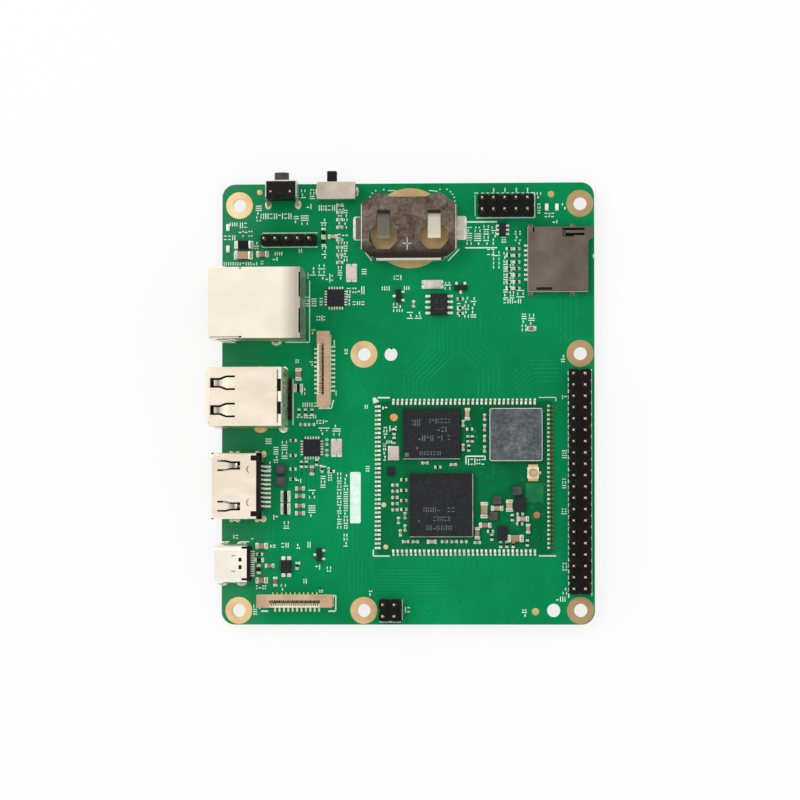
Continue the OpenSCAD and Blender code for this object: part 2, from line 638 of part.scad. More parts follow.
usb_lip = 0.9;
usb_in_w = usb_w - 2 * usb_sheet;
usb_port_zs = [usb_port_z, usb_port_z + usb_port_pitch];
usb_spring_y = 3.05;
usb_spring_l = 5.8;
usb_spring_root = 3.3;
usb_spring_tip = 2.2;
usb_slit = 0.45;
usb_tab_y = 2.55;
module usb_shell() color("Linen") at_left(usb_y, usb_over) {
    difference() {
        jack_block(usb_lip, usb_l, 0.2, usb_h, 0.9, usb_w);
        jack_block(usb_lip + usb_sheet, usb_l - usb_sheet, -1, usb_h - usb_sheet, 0.6, usb_in_w);
        for (z = usb_port_zs) block([-1, -usb_port_w / 2, z - usb_port_h / 2], [2, usb_port_w / 2, z + usb_port_h / 2]);
        for (s = [-1, 1]) {
            translate([1 + usb_lip - 0.9, s * usb_spring_y, usb_h - 1]) linear_extrude(2)
                tongue_gap(usb_spring_l, usb_spring_root, usb_spring_tip, usb_slit);
            for (z = usb_port_zs) translate([1.8, s * usb_w / 2, z]) rotate([90, 0, 0])
                translate([0, 0, -1]) linear_extrude(2) tongue_gap(5.2, 2.8, 2, usb_slit);
        }
        // slots between the tabs that lock the rear cover, and its foot opening
        translate([usb_l - 1.1, 0, usb_h]) cube([0.2, usb_w - 1.2, 2 * usb_sheet + 0.2], center = true);
        for (y = [-1, 1]) translate([usb_l - 0.75, y * usb_tab_y, usb_h - 0.6]) cube([0.9, 2.8, 2], center = true);
        block([usb_l - 1, -5, -1], [usb_l + 1, 5, 1.2]);
    }
    for (s = [-1, 1]) {
        translate([1 + usb_lip - 0.9, s * usb_spring_y, usb_h - usb_sheet / 2])
            tongue(usb_spring_l, usb_spring_root, usb_spring_tip, usb_slit, 1.05, usb_sheet, 0.6);
        for (z = usb_port_zs) translate([1.8, s * (usb_w / 2 - usb_sheet / 2), z]) rotate([s * 90, 0, 0])
            tongue(5.2, 2.8, 2, usb_slit, 0.6, usb_sheet, -0.5);
        for (x = usb_leg_x) translate([x, 0, 0]) rotate(90) bent([
            [s * usb_leg_y, 2], [s * usb_leg_y, tail_z + 0.5], [s * (usb_leg_y - 0.15), tail_z]], usb_sheet, 1.2);
    }
    // flared lips round each port
    for (z = usb_port_zs, s = [-1, 1]) {
        translate([0, 0, z]) bent([[usb_lip + usb_sheet, s * (usb_port_h / 2 + usb_sheet / 2)],
            [usb_lip, s * (usb_port_h / 2 + usb_sheet / 2)], [0.05, s * (usb_port_h / 2 + usb_sheet / 2 + 0.3)]],
            usb_sheet, usb_port_w - 0.9);
    }
}
usb_tongue_l = 8.4;
usb_back = 10.6;
usb_wire = 0.25;
function usb_face(k) = usb_port_zs[k] + 0.3;
module usb_contact(k, y, grow = 0) translate([0, y, 0]) {
    z = usb_face(k) - usb_wire / 2;
    bent([[usb_back - usb_tongue_l + 0.4, z], [usb_tail_x[k] - 1, z]], usb_wire, 1);
    bent([[usb_tail_x[k] - 1.4, z], [usb_tail_x[k], z], [usb_tail_x[k], tail_z]], usb_wire, 0.6);
}
module usb_housing() color([0.12, 0.12, 0.12]) at_left(usb_y, usb_over) difference() {
    in_y = usb_in_w / 2 - 0.05;
    low = usb_port_zs[0] + usb_port_h / 2;
    union() {
        // back block with a foot behind the shell
        jack_block(usb_back, usb_l - usb_sheet - 0.05, 0, usb_h - usb_sheet - 0.05, 0.6, 2 * in_y);
        block([usb_l - 1, -4.6, 0], [usb_l + 0.7, 4.6, 0.8]);
        // floor and the shelf between the ports
        block([usb_lip + usb_sheet + 0.05, -in_y, 0], [usb_back, in_y, usb_port_zs[0] - usb_port_h / 2]);
        block([usb_lip + usb_sheet + 0.05, -in_y, low], [usb_back, in_y, usb_port_zs[1] - usb_port_h / 2]);
        // tongue of each port with a bevelled nose
        for (k = [0, 1]) rotate([90, 0, 0]) linear_extrude(11.1, center = true) polygon([
            [usb_back, usb_face(k)], [usb_back - usb_tongue_l, usb_face(k)],
            [usb_back - usb_tongue_l, usb_face(k) + usb_tongue_t - 0.5],
            [usb_back - usb_tongue_l + 0.6, usb_face(k) + usb_tongue_t], [usb_back, usb_face(k) + usb_tongue_t]]);
    }
    for (k = [0, 1], y = usb_ys) usb_contact(k, y);
}
module usb_contacts() color("Gold") at_left(usb_y, usb_over) for (k = [0, 1], y = usb_ys) usb_contact(k, y);

// Video socket

vid_low = 0.45;
vid_chamfer_z = 2.9;
vid_foot_w = 11.4;
vid_r = 0.6;
function vid_edge(inset) =
    let (x = vid_w / 2 - inset, f = vid_foot_w / 2 - inset * 0.6, r = vid_r)
    concat([[-f, vid_low + inset], [f, vid_low + inset], [x, vid_chamfer_z]],
        arc([x - r, vid_h - inset - r], r, 0, 90), arc([-x + r, vid_h - inset - r], r, 90, 180),
        [[-x, vid_chamfer_z]]);
module vid_run(x0, x1, inset) translate([x0, 0, 0]) rotate([90, 0, 90]) linear_extrude(x1 - x0)
    polygon(vid_edge(inset));
vid_spring_y = 4.6;
vid_spring_x = 1.4;
vid_spring_l = 5.2;
vid_slit = 0.42;
module crescent(r, t) intersection() {
    difference() { circle(r); translate([t, 0]) circle(r); }
    translate([-2 * r - 0.35 * r, -r]) square(2 * r);
}
vid_lip = 0.5;
module video_shell() color("Linen") at_left(vid_y, vid_over) {
    difference() {
        vid_run(vid_lip, vid_l, 0);
        vid_run(-1, vid_l + 1, vid_sheet);
        // opening for the lower row of contacts
        block([vid_back + 0.7, -5.3, -1], [vid_l + 1, 5.3, vid_low + vid_sheet + 0.1]);
        for (s = [-1, 1]) {
            translate([vid_spring_x + vid_spring_l, s * vid_spring_y, vid_h - 1]) rotate(180) linear_extrude(2)
                tongue_gap(vid_spring_l, 2.5, 1.9, vid_slit);
            translate([8.9, s * 3.75, vid_h - 1]) linear_extrude(2) crescent(0.9, 0.2);
            // relief in front of each rear corner
            translate([vid_l - 0.6, s * (vid_w / 2 - 1.2), vid_h]) cube([1.3, 1.2, 2], center = true);
        }
    }
    for (s = [-1, 1]) {
        translate([vid_spring_x + vid_spring_l, s * vid_spring_y, vid_h - vid_sheet / 2]) rotate(180)
            tongue(vid_spring_l, 2.5, 1.9, vid_slit, 0.7, vid_sheet, 0.6);
        translate([vid_leg_x[0], 0, 0]) rotate(90) bent([[s * vid_leg_y, vid_chamfer_z + 0.4],
            [s * vid_leg_y, tail_z]], vid_sheet, 1.5);
        // rear corner wrap that carries the rear leg
        block([vid_l - 0.4, s * vid_leg_y - vid_sheet / 2, 0.5], [11.4, s * vid_leg_y + vid_sheet / 2, vid_h - 0.7]);
        translate([vid_leg_x[1], 0, 0]) rotate(90) bent([[s * vid_leg_y, 1], [s * vid_leg_y, tail_z]], vid_sheet, 1.5);
        translate([11.4 - vid_sheet, s * (vid_leg_y - 0.9) - 0.9, 0.8]) cube([vid_sheet, 1.8, vid_h - 1.9]);
        // flared mouth
        folded([[s * (vid_w / 2 - vid_sheet / 2), vid_chamfer_z + 0.1],
            [s * (vid_w / 2 - vid_sheet / 2), vid_h - 0.8]], vid_sheet, 0, vid_lip + 0.1);
    }
    bent([[vid_lip + 0.2, vid_h - vid_sheet / 2], [vid_lip, vid_h - vid_sheet / 2], [0, vid_h + 0.05]], vid_sheet, vid_w - 2.2);
    bent([[vid_lip + 0.2, vid_low + vid_sheet / 2], [0, vid_low + vid_sheet / 2]], vid_sheet, vid_foot_w - 1);
}
vid_tongue_z = 3;
vid_tongue_t = 1;
vid_wire = 0.12;
vid_back = 7.6;
vid_rows = concat([for (i = [0:9]) [(i - 4.5) * vid_pitch, 1]], [for (i = [0:8]) [(i - 4) * vid_pitch, -1]]);
module video_contact(y, up) {
    z = vid_tongue_z + up * (vid_tongue_t / 2 + vid_wire / 2);
    end = up > 0 ? 11.35 : vid_back + 1.2;
    translate([0, y, 0]) bent([[2.4, z], [end, z], [end + (up > 0 ? 0.4 : 0.1), vid_wire / 2],
        [end + (up > 0 ? 1.55 : 0.9), vid_wire / 2]], vid_wire, vid_pitch * 0.46);
}
module video_insulator() color([0.1, 0.1, 0.1]) at_left(vid_y, vid_over) difference() {
    union() {
        vid_run(vid_back, vid_l + 0.9, vid_sheet + 0.05);
        block([vid_back, -5.3, 0], [vid_l, 5.3, 1]);
        block([vid_l, -6, 0], [vid_l + 0.9, 6, 1]);
        rotate([90, 0, 0]) linear_extrude(12, center = true) polygon([
            [vid_back, vid_tongue_z - vid_tongue_t / 2], [2.2, vid_tongue_z - vid_tongue_t / 2],
            [1.8, vid_tongue_z], [2.2, vid_tongue_z + vid_tongue_t / 2], [vid_back, vid_tongue_z + vid_tongue_t / 2]]);
    }
    for (c = vid_rows) video_contact(c[0], c[1]);
    // the shell's lower wall and rear corners pass round the block
    translate([0, 0, vid_low]) block([vid_back - 1, -vid_w, 0], [vid_l + eps, vid_w, vid_sheet + 0.05]);
}
module video_contacts() color("Silver") at_left(vid_y, vid_over) for (c = vid_rows) video_contact(c[0], c[1]);

// Power socket

pow_z = pow_h / 2;
module pow_ring(x0, x1, inset) translate([x0, 0, pow_z]) rotate([90, 0, 90]) linear_extrude(x1 - x0)
    rounded(pow_w - 2 * inset, pow_h - 2 * inset, pow_h / 2 - inset - eps);
module power_shell() color("Ivory") at_left(pow_y, pow_over) {
    difference() {
        pow_ring(0, pow_l, 0);
        pow_ring(-1, pow_l + 1, pow_sheet);
        for (s = [-1, 1]) {
            translate([5.8, s * 0.85, pow_h]) cube([0.7, 0.9, 2], center = true);
            translate([4.3, s * 1.75, pow_h]) cube([0.9, 0.25, 2], center = true);
            translate([pow_l - 0.5, s * (pow_w / 2 - 0.9), pow_h]) cube([1.4, 0.5, 1.6], center = true);
        }
        // opening for the lower row of contacts
        block([pow_back + 0.6, -3.1, -1], [pow_l + 1, 3.1, pow_sheet + 0.1]);
    }
    for (x = pow_leg_x, s = [-1, 1]) translate([x, 0, 0]) rotate(90)
        bent([[s * pow_leg_y, pow_z], [s * pow_leg_y, tail_z]], pow_sheet, 1.1);
}
pow_wire = 0.12;
pow_back = 5;
pow_cols = [for (i = [0:11]) (i - 5.5) * 0.5];
module power_contact(y, up) {
    z = pow_z + up * (pow_tongue_t / 2 + pow_wire / 2);
    end = up > 0 ? pow_l + 0.9 : pow_back + 1;
    translate([0, y, 0]) bent([[1.6, z], [end, z], [end + 0.1, pow_wire / 2],
        [end + (up > 0 ? 0.55 : 0.9), pow_wire / 2]], pow_wire, 0.26);
}
module power_insulator() color([0.1, 0.1, 0.1]) at_left(pow_y, pow_over) difference() {
    union() {
        pow_ring(pow_back, pow_l, pow_sheet + 0.03);
        block([pow_l, -3.9, 0], [pow_l + 0.8, 3.9, pow_h - 0.5]);
        translate([1.2, 0, pow_z - pow_tongue_t / 2]) linear_extrude(pow_tongue_t)
            translate([2.4, 0]) rounded(4.8 + 0.2, 6.7, 0.6);
    }
    for (y = pow_cols, up = [-1, 1]) power_contact(y, up);
}
module power_contacts() color("Gold") at_left(pow_y, pow_over) for (y = pow_cols, up = [-1, 1]) power_contact(y, up);

// Reset button

reset_over = 0.4;
reset_low = 0.3;
flange_r = reset_plunger_r + 0.45;
flange_t = 0.5;
reset_cup = 1.9;
module reset_rod(x0, x1, r) translate([x0, 0, reset_axis_z]) rotate([0, 90, 0]) cylinder(r = r, h = x1 - x0);
module reset_case() color([0.1, 0.1, 0.1]) at_top(reset_x, reset_over) difference() {
    union() {
        block([reset_sheet, -reset_w / 2, reset_low], [reset_sheet + reset_l, reset_w / 2, reset_h]);
        block([reset_sheet + 0.6, -reset_w / 2 + 0.5, 0], [reset_sheet + reset_l - 0.4, reset_w / 2 - 0.5, reset_low]);
    }
    reset_rod(-1, reset_sheet + reset_cup, flange_r + 0.25);
    // notch in the rear edge
    block([reset_sheet + reset_l - 0.7, -1, reset_h - 0.5], [reset_sheet + reset_l + 1, 1, reset_h + 1]);
    for (s = [-1, 1]) translate([reset_pin_x, s * reset_pin_y, -1]) cube([0.6, 0.6, 3], center = true);
}
module reset_bracket() color("Silver") at_top(reset_x, reset_over) {
    difference() {
        block([0, -reset_w / 2 - reset_sheet, reset_low], [reset_sheet, reset_w / 2 + reset_sheet, reset_h - 0.2]);
        reset_rod(-1, 1, reset_plunger_r + 0.15);
    }
    for (s = [-1, 1]) translate([0, s * reset_leg_y, 0]) rotate([90, 0, 0])
        linear_extrude(reset_sheet, center = true) polygon([
            [0, reset_low], [0, reset_h - 0.6], [reset_leg_x - 1.4, reset_h - 0.6], [reset_leg_x + 0.45, 3],
            [reset_leg_x + 0.45, tail_z + 0.4], [reset_leg_x, tail_z], [reset_leg_x - 0.45, tail_z + 0.4],
            [reset_leg_x - 0.45, reset_low]]);
}
module reset_plunger() color([0.2, 0.2, 0.2]) at_top(reset_x, reset_over) {
    reset_rod(-reset_plunger_l, reset_sheet + 0.2, reset_plunger_r);
    reset_rod(reset_sheet + 0.05, reset_sheet + 0.05 + flange_t, flange_r);
    reset_rod(reset_sheet + flange_t, reset_sheet + reset_cup - 0.55 - reset_travel, 0.7);
}
// Snap dome: a thin shallow cap resting in the bottom of the cup
module reset_dome() color("Silver") at_top(reset_x, reset_over)
    translate([reset_sheet + reset_cup, 0, reset_axis_z]) rotate([0, -90, 0])
        rotate_extrude() polygon([[0, 0.42], [1, 0.32], [1.9, 0], [1.9, 0.08], [1, 0.4], [0, 0.5]]);
module reset_terminals() color("Silver") at_top(reset_x, reset_over) for (s = [-1, 1])
    translate([reset_pin_x, s * reset_pin_y, 0]) square_pin(tail_z, 0.5, 0.6, 0.3);

// Slide switch

slide_over = 0.2;
floor_t = 0.8;
knob_from = -knob_travel / 2;
knob_z = floor_t + 0.05;
module slide_cover() color("Tan") at_top(slide_x, slide_over) difference() {
    union() {
        block([0, -slide_w / 2, 0.3], [slide_l, slide_w / 2, slide_h]);
        for (s = [-1, 1]) translate([slide_pin_x, s * slide_leg_y, 0]) {
            block([-0.6, -slide_sheet / 2, tail_z + 0.2], [0.6, slide_sheet / 2, 1]);
            block([-0.4, -slide_sheet / 2, tail_z], [0.4, slide_sheet / 2, 1]);
        }
    }
    block([slide_sheet, -slide_w / 2 + slide_sheet, -1], [slide_l - slide_sheet, slide_w / 2 - slide_sheet, slide_h - slide_sheet]);
    block([-1, -(knob_w + knob_travel) / 2 - 0.15, knob_z - 0.05 + 0.3],
          [1, (knob_w + knob_travel) / 2 + 0.15, knob_z + 0.3 + knob_h + 0.15]);
}
module slide_base() color([0.25, 0.2, 0.15]) at_top(slide_x, slide_over) difference() {
    block([slide_sheet + 0.03, -slide_w / 2 + slide_sheet + 0.03, 0],
          [slide_l - slide_sheet - 0.03, slide_w / 2 - slide_sheet - 0.03, floor_t]);
    for (y = slide_pins) translate([slide_pin_x, y, 0]) cube([0.5, 0.5, 4], center = true);
}
module slide_knob() color([0.1, 0.1, 0.1]) at_top(slide_x, slide_over) translate([0, knob_from, 0]) {
    translate([0, 0, knob_z + 0.4]) linear_extrude(knob_h - 0.1) {
        translate([(0.4 - knob_l) / 2, 0]) rounded(knob_l + 0.4 + 0.6, knob_w, 0.25);
    }
    block([slide_sheet + 0.1, -knob_w / 2 - 0.6, knob_z],
          [slide_l - slide_sheet - 0.1, knob_w / 2 + 0.6, knob_z + knob_h + 0.5]);
}
module slide_terminals() color("Silver") at_top(slide_x, slide_over) for (y = slide_pins)
    translate([slide_pin_x, y, 0]) square_pin(tail_z, floor_t, 0.5, 0.2);

// Memory card socket

card_mid = card_w / 2;
card_back = 1.1;
shell_r = 0.15;
module card_top() polygon([
    [0, -card_mid], [0, -card_mid + 2.4], [card_back, -card_mid + 3.3],
    [card_back, card_mid], [card_l, card_mid], [card_l, -card_mid]]);
module card_shell() color("DimGray") at_right(card_y, card_in) {
    difference() {
        linear_extrude(card_h) card_top();
        translate([0, 0, -eps]) linear_extrude(card_h - card_sheet + eps)
            translate([-1, -card_mid + card_sheet]) square([card_l + 1 - 2.2, card_w - 2 * card_sheet]);
        translate([0, 0, -eps]) block([card_l - 3, -card_mid + card_sheet, 0], [card_l + 1, card_mid - card_sheet, card_h - card_sheet]);
        // window of the follower spring
        translate([1.9, -card_mid + 0.25, card_h - 1]) linear_extrude(2)
            polygon([[0, 0], [5, 0], [5, 2], [2.6, 2], [2.3, 1.7], [0, 1.7]]);
        translate([card_l - 1.4, -card_mid + 0.7, card_h - 0.5]) cube([0.4, 1.2, 2], center = true);
        block([card_l - 5.6, card_mid - 1.1, card_h - 0.5], [card_l - 2, card_mid - 0.5, card_h + 1]);
    }
    // follower spring: rooted at the mouth, its tip presses on the slider's pin
    translate([1.9, -card_mid + 1.1, card_h - card_sheet / 2])
        bent([[-0.2, 0], [0.8, 0], [2.6, -0.25], [4.2, -0.25]], card_sheet, 0.62);
    // solder legs
    for (p = [[card_l - 0.6, 1], [4.7, 1], [4.6, -1], [card_l - 0.6, -1]])
        translate([p[0], p[1] * card_mid, 0]) block([-0.55, -0.12 - (p[1] < 0 ? 0.6 : 0), 0],
            [0.55, 0.12 + (p[1] > 0 ? 0.6 : 0), 0.2]);
}
lane_y0 = -card_mid + card_sheet + 0.35;
lane_w = 1.6;
card_floor = 0.4;
module card_base() color([0.12, 0.12, 0.12]) at_right(card_y, card_in) {
    in_y = card_mid - card_sheet - 0.03;
    difference() {
        block([card_back + 0.3, -in_y, 0], [card_l - 0.2, in_y, card_floor]);
        // window under the card's middle
        block([4, -2, -1], [9, 4.5, 1]);
        for (i = [0:7]) translate([0, (i - 3) * card_pitch, 0]) {
            block([card_l - 8.3, -0.25, -0.2], [card_l + 1, 0.25, 0.8]);
            block([card_l - 3.8, -0.25, -1], [card_l + 1, 0.25, 0.5]);
        }
    }
    // outer wall of the slider's lane, the far rail and the rear wall
    block([card_back + 0.3, -in_y, 0], [card_l - 0.2, lane_y0, card_h - card_sheet - 0.05]);
    block([card_back + 0.3, card_mid - 1.4, 0], [card_l - 0.2, in_y, card_h - card_sheet - 0.05]);
    difference() {
        block([card_l - 0.9, -in_y, 0], [card_l - 0.2, in_y, card_h - card_sheet - 0.05]);
        for (i = [0:7]) translate([card_l - 1.8, (i - 3) * card_pitch, 0]) cube([4, 0.5, 1.3], center = true);
    }
}
module card_contacts() color("Gold") at_right(card_y, card_in) for (i = [0:7])
    translate([0, (i - 3) * card_pitch, 0]) bent([
        [card_l + 0.75, 0.06], [card_l - 0.6, 0.06], [card_l - 1.2, 0.3], [card_l - 3.6, 0.3],
        [card_l - 6.4, 0.85], [card_l - 7, 1.05], [card_l - 7.5, 0.9]], 0.12, 0.36);
// L-shaped slider: the arm reaches behind the card's tip
slider_x0 = 6.2;
slider_l = 4.2;
slider_h = 0.95;
module card_slider() color([0.3, 0.3, 0.3]) at_right(card_y, card_in) translate([0, 0, card_floor + 0.02]) difference() {
    union() {
        block([slider_x0, lane_y0 + 0.05, 0], [slider_x0 + slider_l, lane_y0 + lane_w, slider_h]);
        block([slider_x0 + 2.4, lane_y0 + lane_w - 0.1, 0.1], [slider_x0 + 3.6, lane_y0 + lane_w + 1.6, slider_h - 0.2]);
        translate([slider_x0 + slider_l - eps, lane_y0 + 0.05 + spring_r + 0.15, spring_r + 0.1]) rotate([0, 90, 0])
            cylinder(r = spring_r - 0.2, h = 0.8, $fn = 24);
    }
    // heart-shaped cam track in the top
    translate([slider_x0 + 1.9, lane_y0 + 0.85, slider_h - 0.3]) linear_extrude(1) difference() {
        heart(0.62);
        heart(0.28);
    }
}
module heart(r) {
    for (s = [-1, 1]) translate([0.35, s * 0.3 * r]) circle(r, $fn = 24);
    polygon([[-1.3 * r - 0.4, 0], [0.35, -1.3 * r], [0.35, 1.3 * r]]);
}
// Coil spring between the slider and the lane's end
spring_x0 = slider_x0 + slider_l + 0.05;
spring_len = card_l - 0.95 - spring_x0;
spring_wire = 0.12;
spring_turns = 6;
spring_steps = 10;
spring_n = spring_turns * spring_steps;
function spring_turn(i) = let (a = 360 * i / spring_steps, c = spring_r - spring_wire / 2)
    [spring_wire / 2 + (spring_len - spring_wire) * i / spring_n, c * cos(a), c * sin(a)];
function spring_side(i, k) = let (a = 360 * i / spring_steps, b = 90 * k + 45)
    spring_turn(i) + spring_wire / 2 * [sin(b), cos(b) * cos(a), cos(b) * sin(a)];
module card_spring() color("Silver") at_right(card_y, card_in)
    translate([spring_x0, lane_y0 + 0.05 + spring_r + 0.15, card_floor + 0.02 + spring_r + 0.1])
        polyhedron(
            points = [for (i = [0:spring_n], k = [0:3]) spring_side(i, k)],
            faces = concat([[0, 1, 2, 3]], [[for (k = [3:-1:0]) 4 * spring_n + k]],
                [for (i = [0:spring_n - 1], k = [0:3])
                    [4 * i + k, 4 * i + 4 + k, 4 * i + 4 + (k + 1) % 4, 4 * i + (k + 1) % 4]]));

// Pin headers

function notched_side(n) = [for (i = [0:n - 1]) each concat(
    [[i * pin_pitch + notch, 0], [(i + 1) * pin_pitch - notch, 0]],
    i < n - 1 ? [[(i + 1) * pin_pitch, notch]] : [])];
function header_edge(nx, ny) = let (w = nx * pin_pitch, l = ny * pin_pitch) concat(
    notched_side(nx), [for (q = notched_side(ny)) [w - q[1], q[0]]],
    [for (q = notched_side(nx)) [w - q[0], l - q[1]]], [for (q = notched_side(ny)) [q[1], l - q[0]]]);
module header_base(h) color([0.08, 0.07, 0.07]) translate([h[0], h[1], board_t]) linear_extrude(header_h) difference() {
    polygon(header_edge(h[2], h[3]));
    for (i = [0:h[2] - 1], j = [0:h[3] - 1])
        translate([(i + 0.5) * pin_pitch, (j + 0.5) * pin_pitch]) square(pin_w, center = true);
}
module header_pins(h) translate([h[0], h[1], board_t]) for (i = [0:h[2] - 1], j = [0:h[3] - 1])
    translate([(i + 0.5) * pin_pitch, (j + 0.5) * pin_pitch, 0]) square_pin(tail_z, pin_top, pin_w, 0.5);
module long_header_base() header_base(long_header);
module ten_way_base() header_base(ten_way);
module five_way_base() header_base(five_way);
module four_way_base() header_base(four_way);
module long_header_pins() color("Gold") header_pins(long_header);
module short_header_pins() color("Gold") for (h = [ten_way, five_way, four_way]) header_pins(h);

// Flat cable sockets: length along Y, contact side towards -X

side_ribbon = [lay_x(-19.2), lay_y(8.5), 0];
end_ribbon = [13 - hole_x, lay_y(-43.9), 90];
rib_under = 0.25;
rib_open_l = rib_count * rib_pitch + 0.6;
comb_x = -0.4;
wedge_x0 = 0.15;
wedge_x1 = 0.7;
function rib_y(i) = (i - (rib_count - 1) / 2) * rib_pitch;
module at_ribbon(p) translate([p[0], p[1], board_t]) rotate(p[2]) children();
module ribbon_housing() color("Cornsilk") {
    difference() {
        block([-rib_w / 2, -rib_l / 2, rib_under], [rib_w / 2, rib_l / 2, rib_h]);
        block([comb_x, -rib_open_l / 2, 0.9], [wedge_x1 + 0.1, rib_open_l / 2, rib_h + 1]);
        for (i = [0:rib_count - 1]) translate([-1.1, rib_y(i) - 0.14, 0]) cube([1.3, 0.28, rib_h + 1]);
        // bevel that guides the cable in
        rotate([90, 0, 0]) linear_extrude(rib_open_l, center = true) polygon([
            [comb_x + 0.01, rib_h - 0.5], [comb_x - 0.35, rib_h + eps], [comb_x + 0.2, rib_h + 0.3]]);
    }
    for (s = [-1, 1]) block([-rib_w / 2 + 0.2, s * (rib_l / 2 - 0.6) - 0.5, 0], [rib_w / 2 - 0.2, s * (rib_l / 2 - 0.6) + 0.5, rib_under + eps]);
}
module ribbon_lock() color("RosyBrown") {
    difference() {
        translate([0, 0, rib_h]) linear_extrude(lock_t) rounded(rib_w + 0.1, rib_l + 1.4, 0.3);
        block([-rib_w, -rib_open_l / 2, rib_h - 1], [wedge_x0, rib_open_l / 2, rib_h + lock_t + 1]);
    }
    // wedge that presses the cable, and the end legs
    block([wedge_x0, -rib_open_l / 2 + 0.1, 1.4], [wedge_x1, rib_open_l / 2 - 0.1, rib_h + eps]);
    for (s = [-1, 1]) block([-0.7, s * (rib_l / 2 + 0.375) - 0.325, 1.2], [0.7, s * (rib_l / 2 + 0.375) + 0.325, rib_h + eps]);
}
module ribbon_contact_row() {
    for (i = [0:rib_count - 1]) translate([0, rib_y(i), 0])
        bent(concat([[(i % 2 ? 1 : -1) * (rib_w / 2 + 0.5), 0.09]], i % 2 ? [[-0.6, 0.09]] : [[-1, 0.09]],
            [[-0.8, 0.3], [-0.85, 2.4], [-0.5, rib_h - 0.6]]), 0.16, 0.24);
    for (s = [-1, 1]) block([-1.1, s * (rib_l / 2 + 0.35) - 0.35, 0], [1.1, s * (rib_l / 2 + 0.35) + 0.35, 0.15]);
}
module side_ribbon_housing() at_ribbon(side_ribbon) ribbon_housing();
module side_ribbon_lock() at_ribbon(side_ribbon) ribbon_lock();
module end_ribbon_housing() at_ribbon(end_ribbon) ribbon_housing();
module end_ribbon_lock() at_ribbon(end_ribbon) ribbon_lock();
module ribbon_contacts() color("Silver") for (p = [side_ribbon, end_ribbon]) at_ribbon(p) ribbon_contact_row();

// Small parts on the two boards: x, y, turn
// Sizes of a two-ended part: length, width, height, end length
s0402 = [1, 0.5, 0.4, 0.22];
s0603 = [1.6, 0.8, 0.7, 0.3];
s0805 = [2.1, 1.25, 0.9, 0.4];
s1206 = [3.6, 1.7, 1.4, 0.6];
module part_middle(s) translate([0, 0, s[2] / 2]) cube([s[0] - 2 * s[3], s[1], s[2]], center = true);
module part_caps(s) for (e = [-1, 1]) translate([e * (s[0] - s[3]) / 2, 0, s[2] / 2]) cube([s[3], s[1], s[2]], center = true);
board_caps = [
    [s1206, [[-37.8, 34.6, 0]]],
    [s0805, [[-33.5, -31.4, 0], [-33.5, -39.2, 0], [-33.4, 34.9, 0], [-25.2, 7.5, 90]]],
    [s0603, [[27.7, 17.7, 0], [-31.7, -35.9, 0], [-17.4, 38.8, 0], [-30.4, -39.5, 90], [-22.1, -14.3, 90]]],
    [s0603, [for (y = [-18.4, -20.1, -22.3, -24]) [-24.8, y, 0]]],
    [s0402, [for (i = [0:7]) [-15.8, 46 - 1.7 * i - (i > 3 ? 1.2 : 0), 0]]],
    [s0402, [[-24.2, -3.9, 0], [-22.2, -3.9, 0], [1, 23.4, 90], [-18.7, -7.9, 90], [-18.7, -10.3, 90]]]
];
// Inner end of the memory card socket on the board as drawn
drawn_card_x = 41.9 - card_in - card_l;
small_block = [1.5, 2.4, 0.5, 0.3];
board_resistors = [
    [s1206, [[-37.7, 37, 0]]],
    [s0603, [[-19.5, 39.7, 90], [-19.5, 37.6, 90], [-34.1, -34.6, 0], [-34.2, -36.7, 90]]],
    [[1.3, 1.7, 0.5, 0.3], [[-25.2, 4.4, 0]]],
    [small_block, [[-28.1, -20.2, 0], [-28.1, -23, 0]]],
    [s0402, [for (i = [0:6], j = [0, 1]) [drawn_card_x - 4.2 + 1.7 * j, 35.8 - 1.5 * i, 0]]],
    [s0402, [for (y = [24.5, 22.4, 21.2]) [11.6, y, 0]]],
    [s0402, [for (y = [-7.5, -10.9, -14, -16.3]) [-26.4, y, 0]]],
    [s0402, [for (x = [-25.1, -23.6, -22.1]) [x, -1.1, 90]]],
    [s0402, [[-24.5, -12.9, 90], [-23.4, -12.9, 90], [-21, -12.5, 90], [-19.8, -14, 90], [-17.7, -14.5, 0]]],
    [s0402, [[-34, -33.3, 0], [-25.4, -35.9, 90]]]
];
module_caps = [
    [[2.9, 1.5, 0.6, 0.4], [[4.6, -7.5, 90]]],
    [[2, 1.4, 1, 0.4], [[10.3, -6.5, 90]]],
    [[3, 1.5, 1.1, 0.5], [[11.6, -13.9, 0]]],
    [[2.2, 1, 0.6, 0.4], [[0.8, 14.2, 90], [7.5, -7.1, 0], [13.3, -9.5, 0], [4.8, -10.9, 0], [3, -12.7, 90]]],
    [s0603, [[14.5, -11.7, 90], [-7.3, -14.6, 0]]],
    [s0402, [[-0.2, 12.1, 90], [-0.2, 6.7, 90], [-8.8, 3.2, 0], [-2.4, 2.8, 0], [3, -14.8, 0]]],
    [s0402, [for (i = [0:3]) [4.7, 13.5 - 2.4 * i, 90]]],
    [s0402, [for (i = [0:4]) [-15.6, -1.8 - 1.4 * i, 0]]],
    [s0402, [for (y = [-8.7, -11.5]) [-13.3, y, 90]]],
    [s0402, [[-14.8, -9.8, 90], [-14.4, -12.6, 90]]],
    [s0402, [for (x = [-13.2, -11, -4.4, -2.2, 0]) [x, -14.6, 0]]]
];
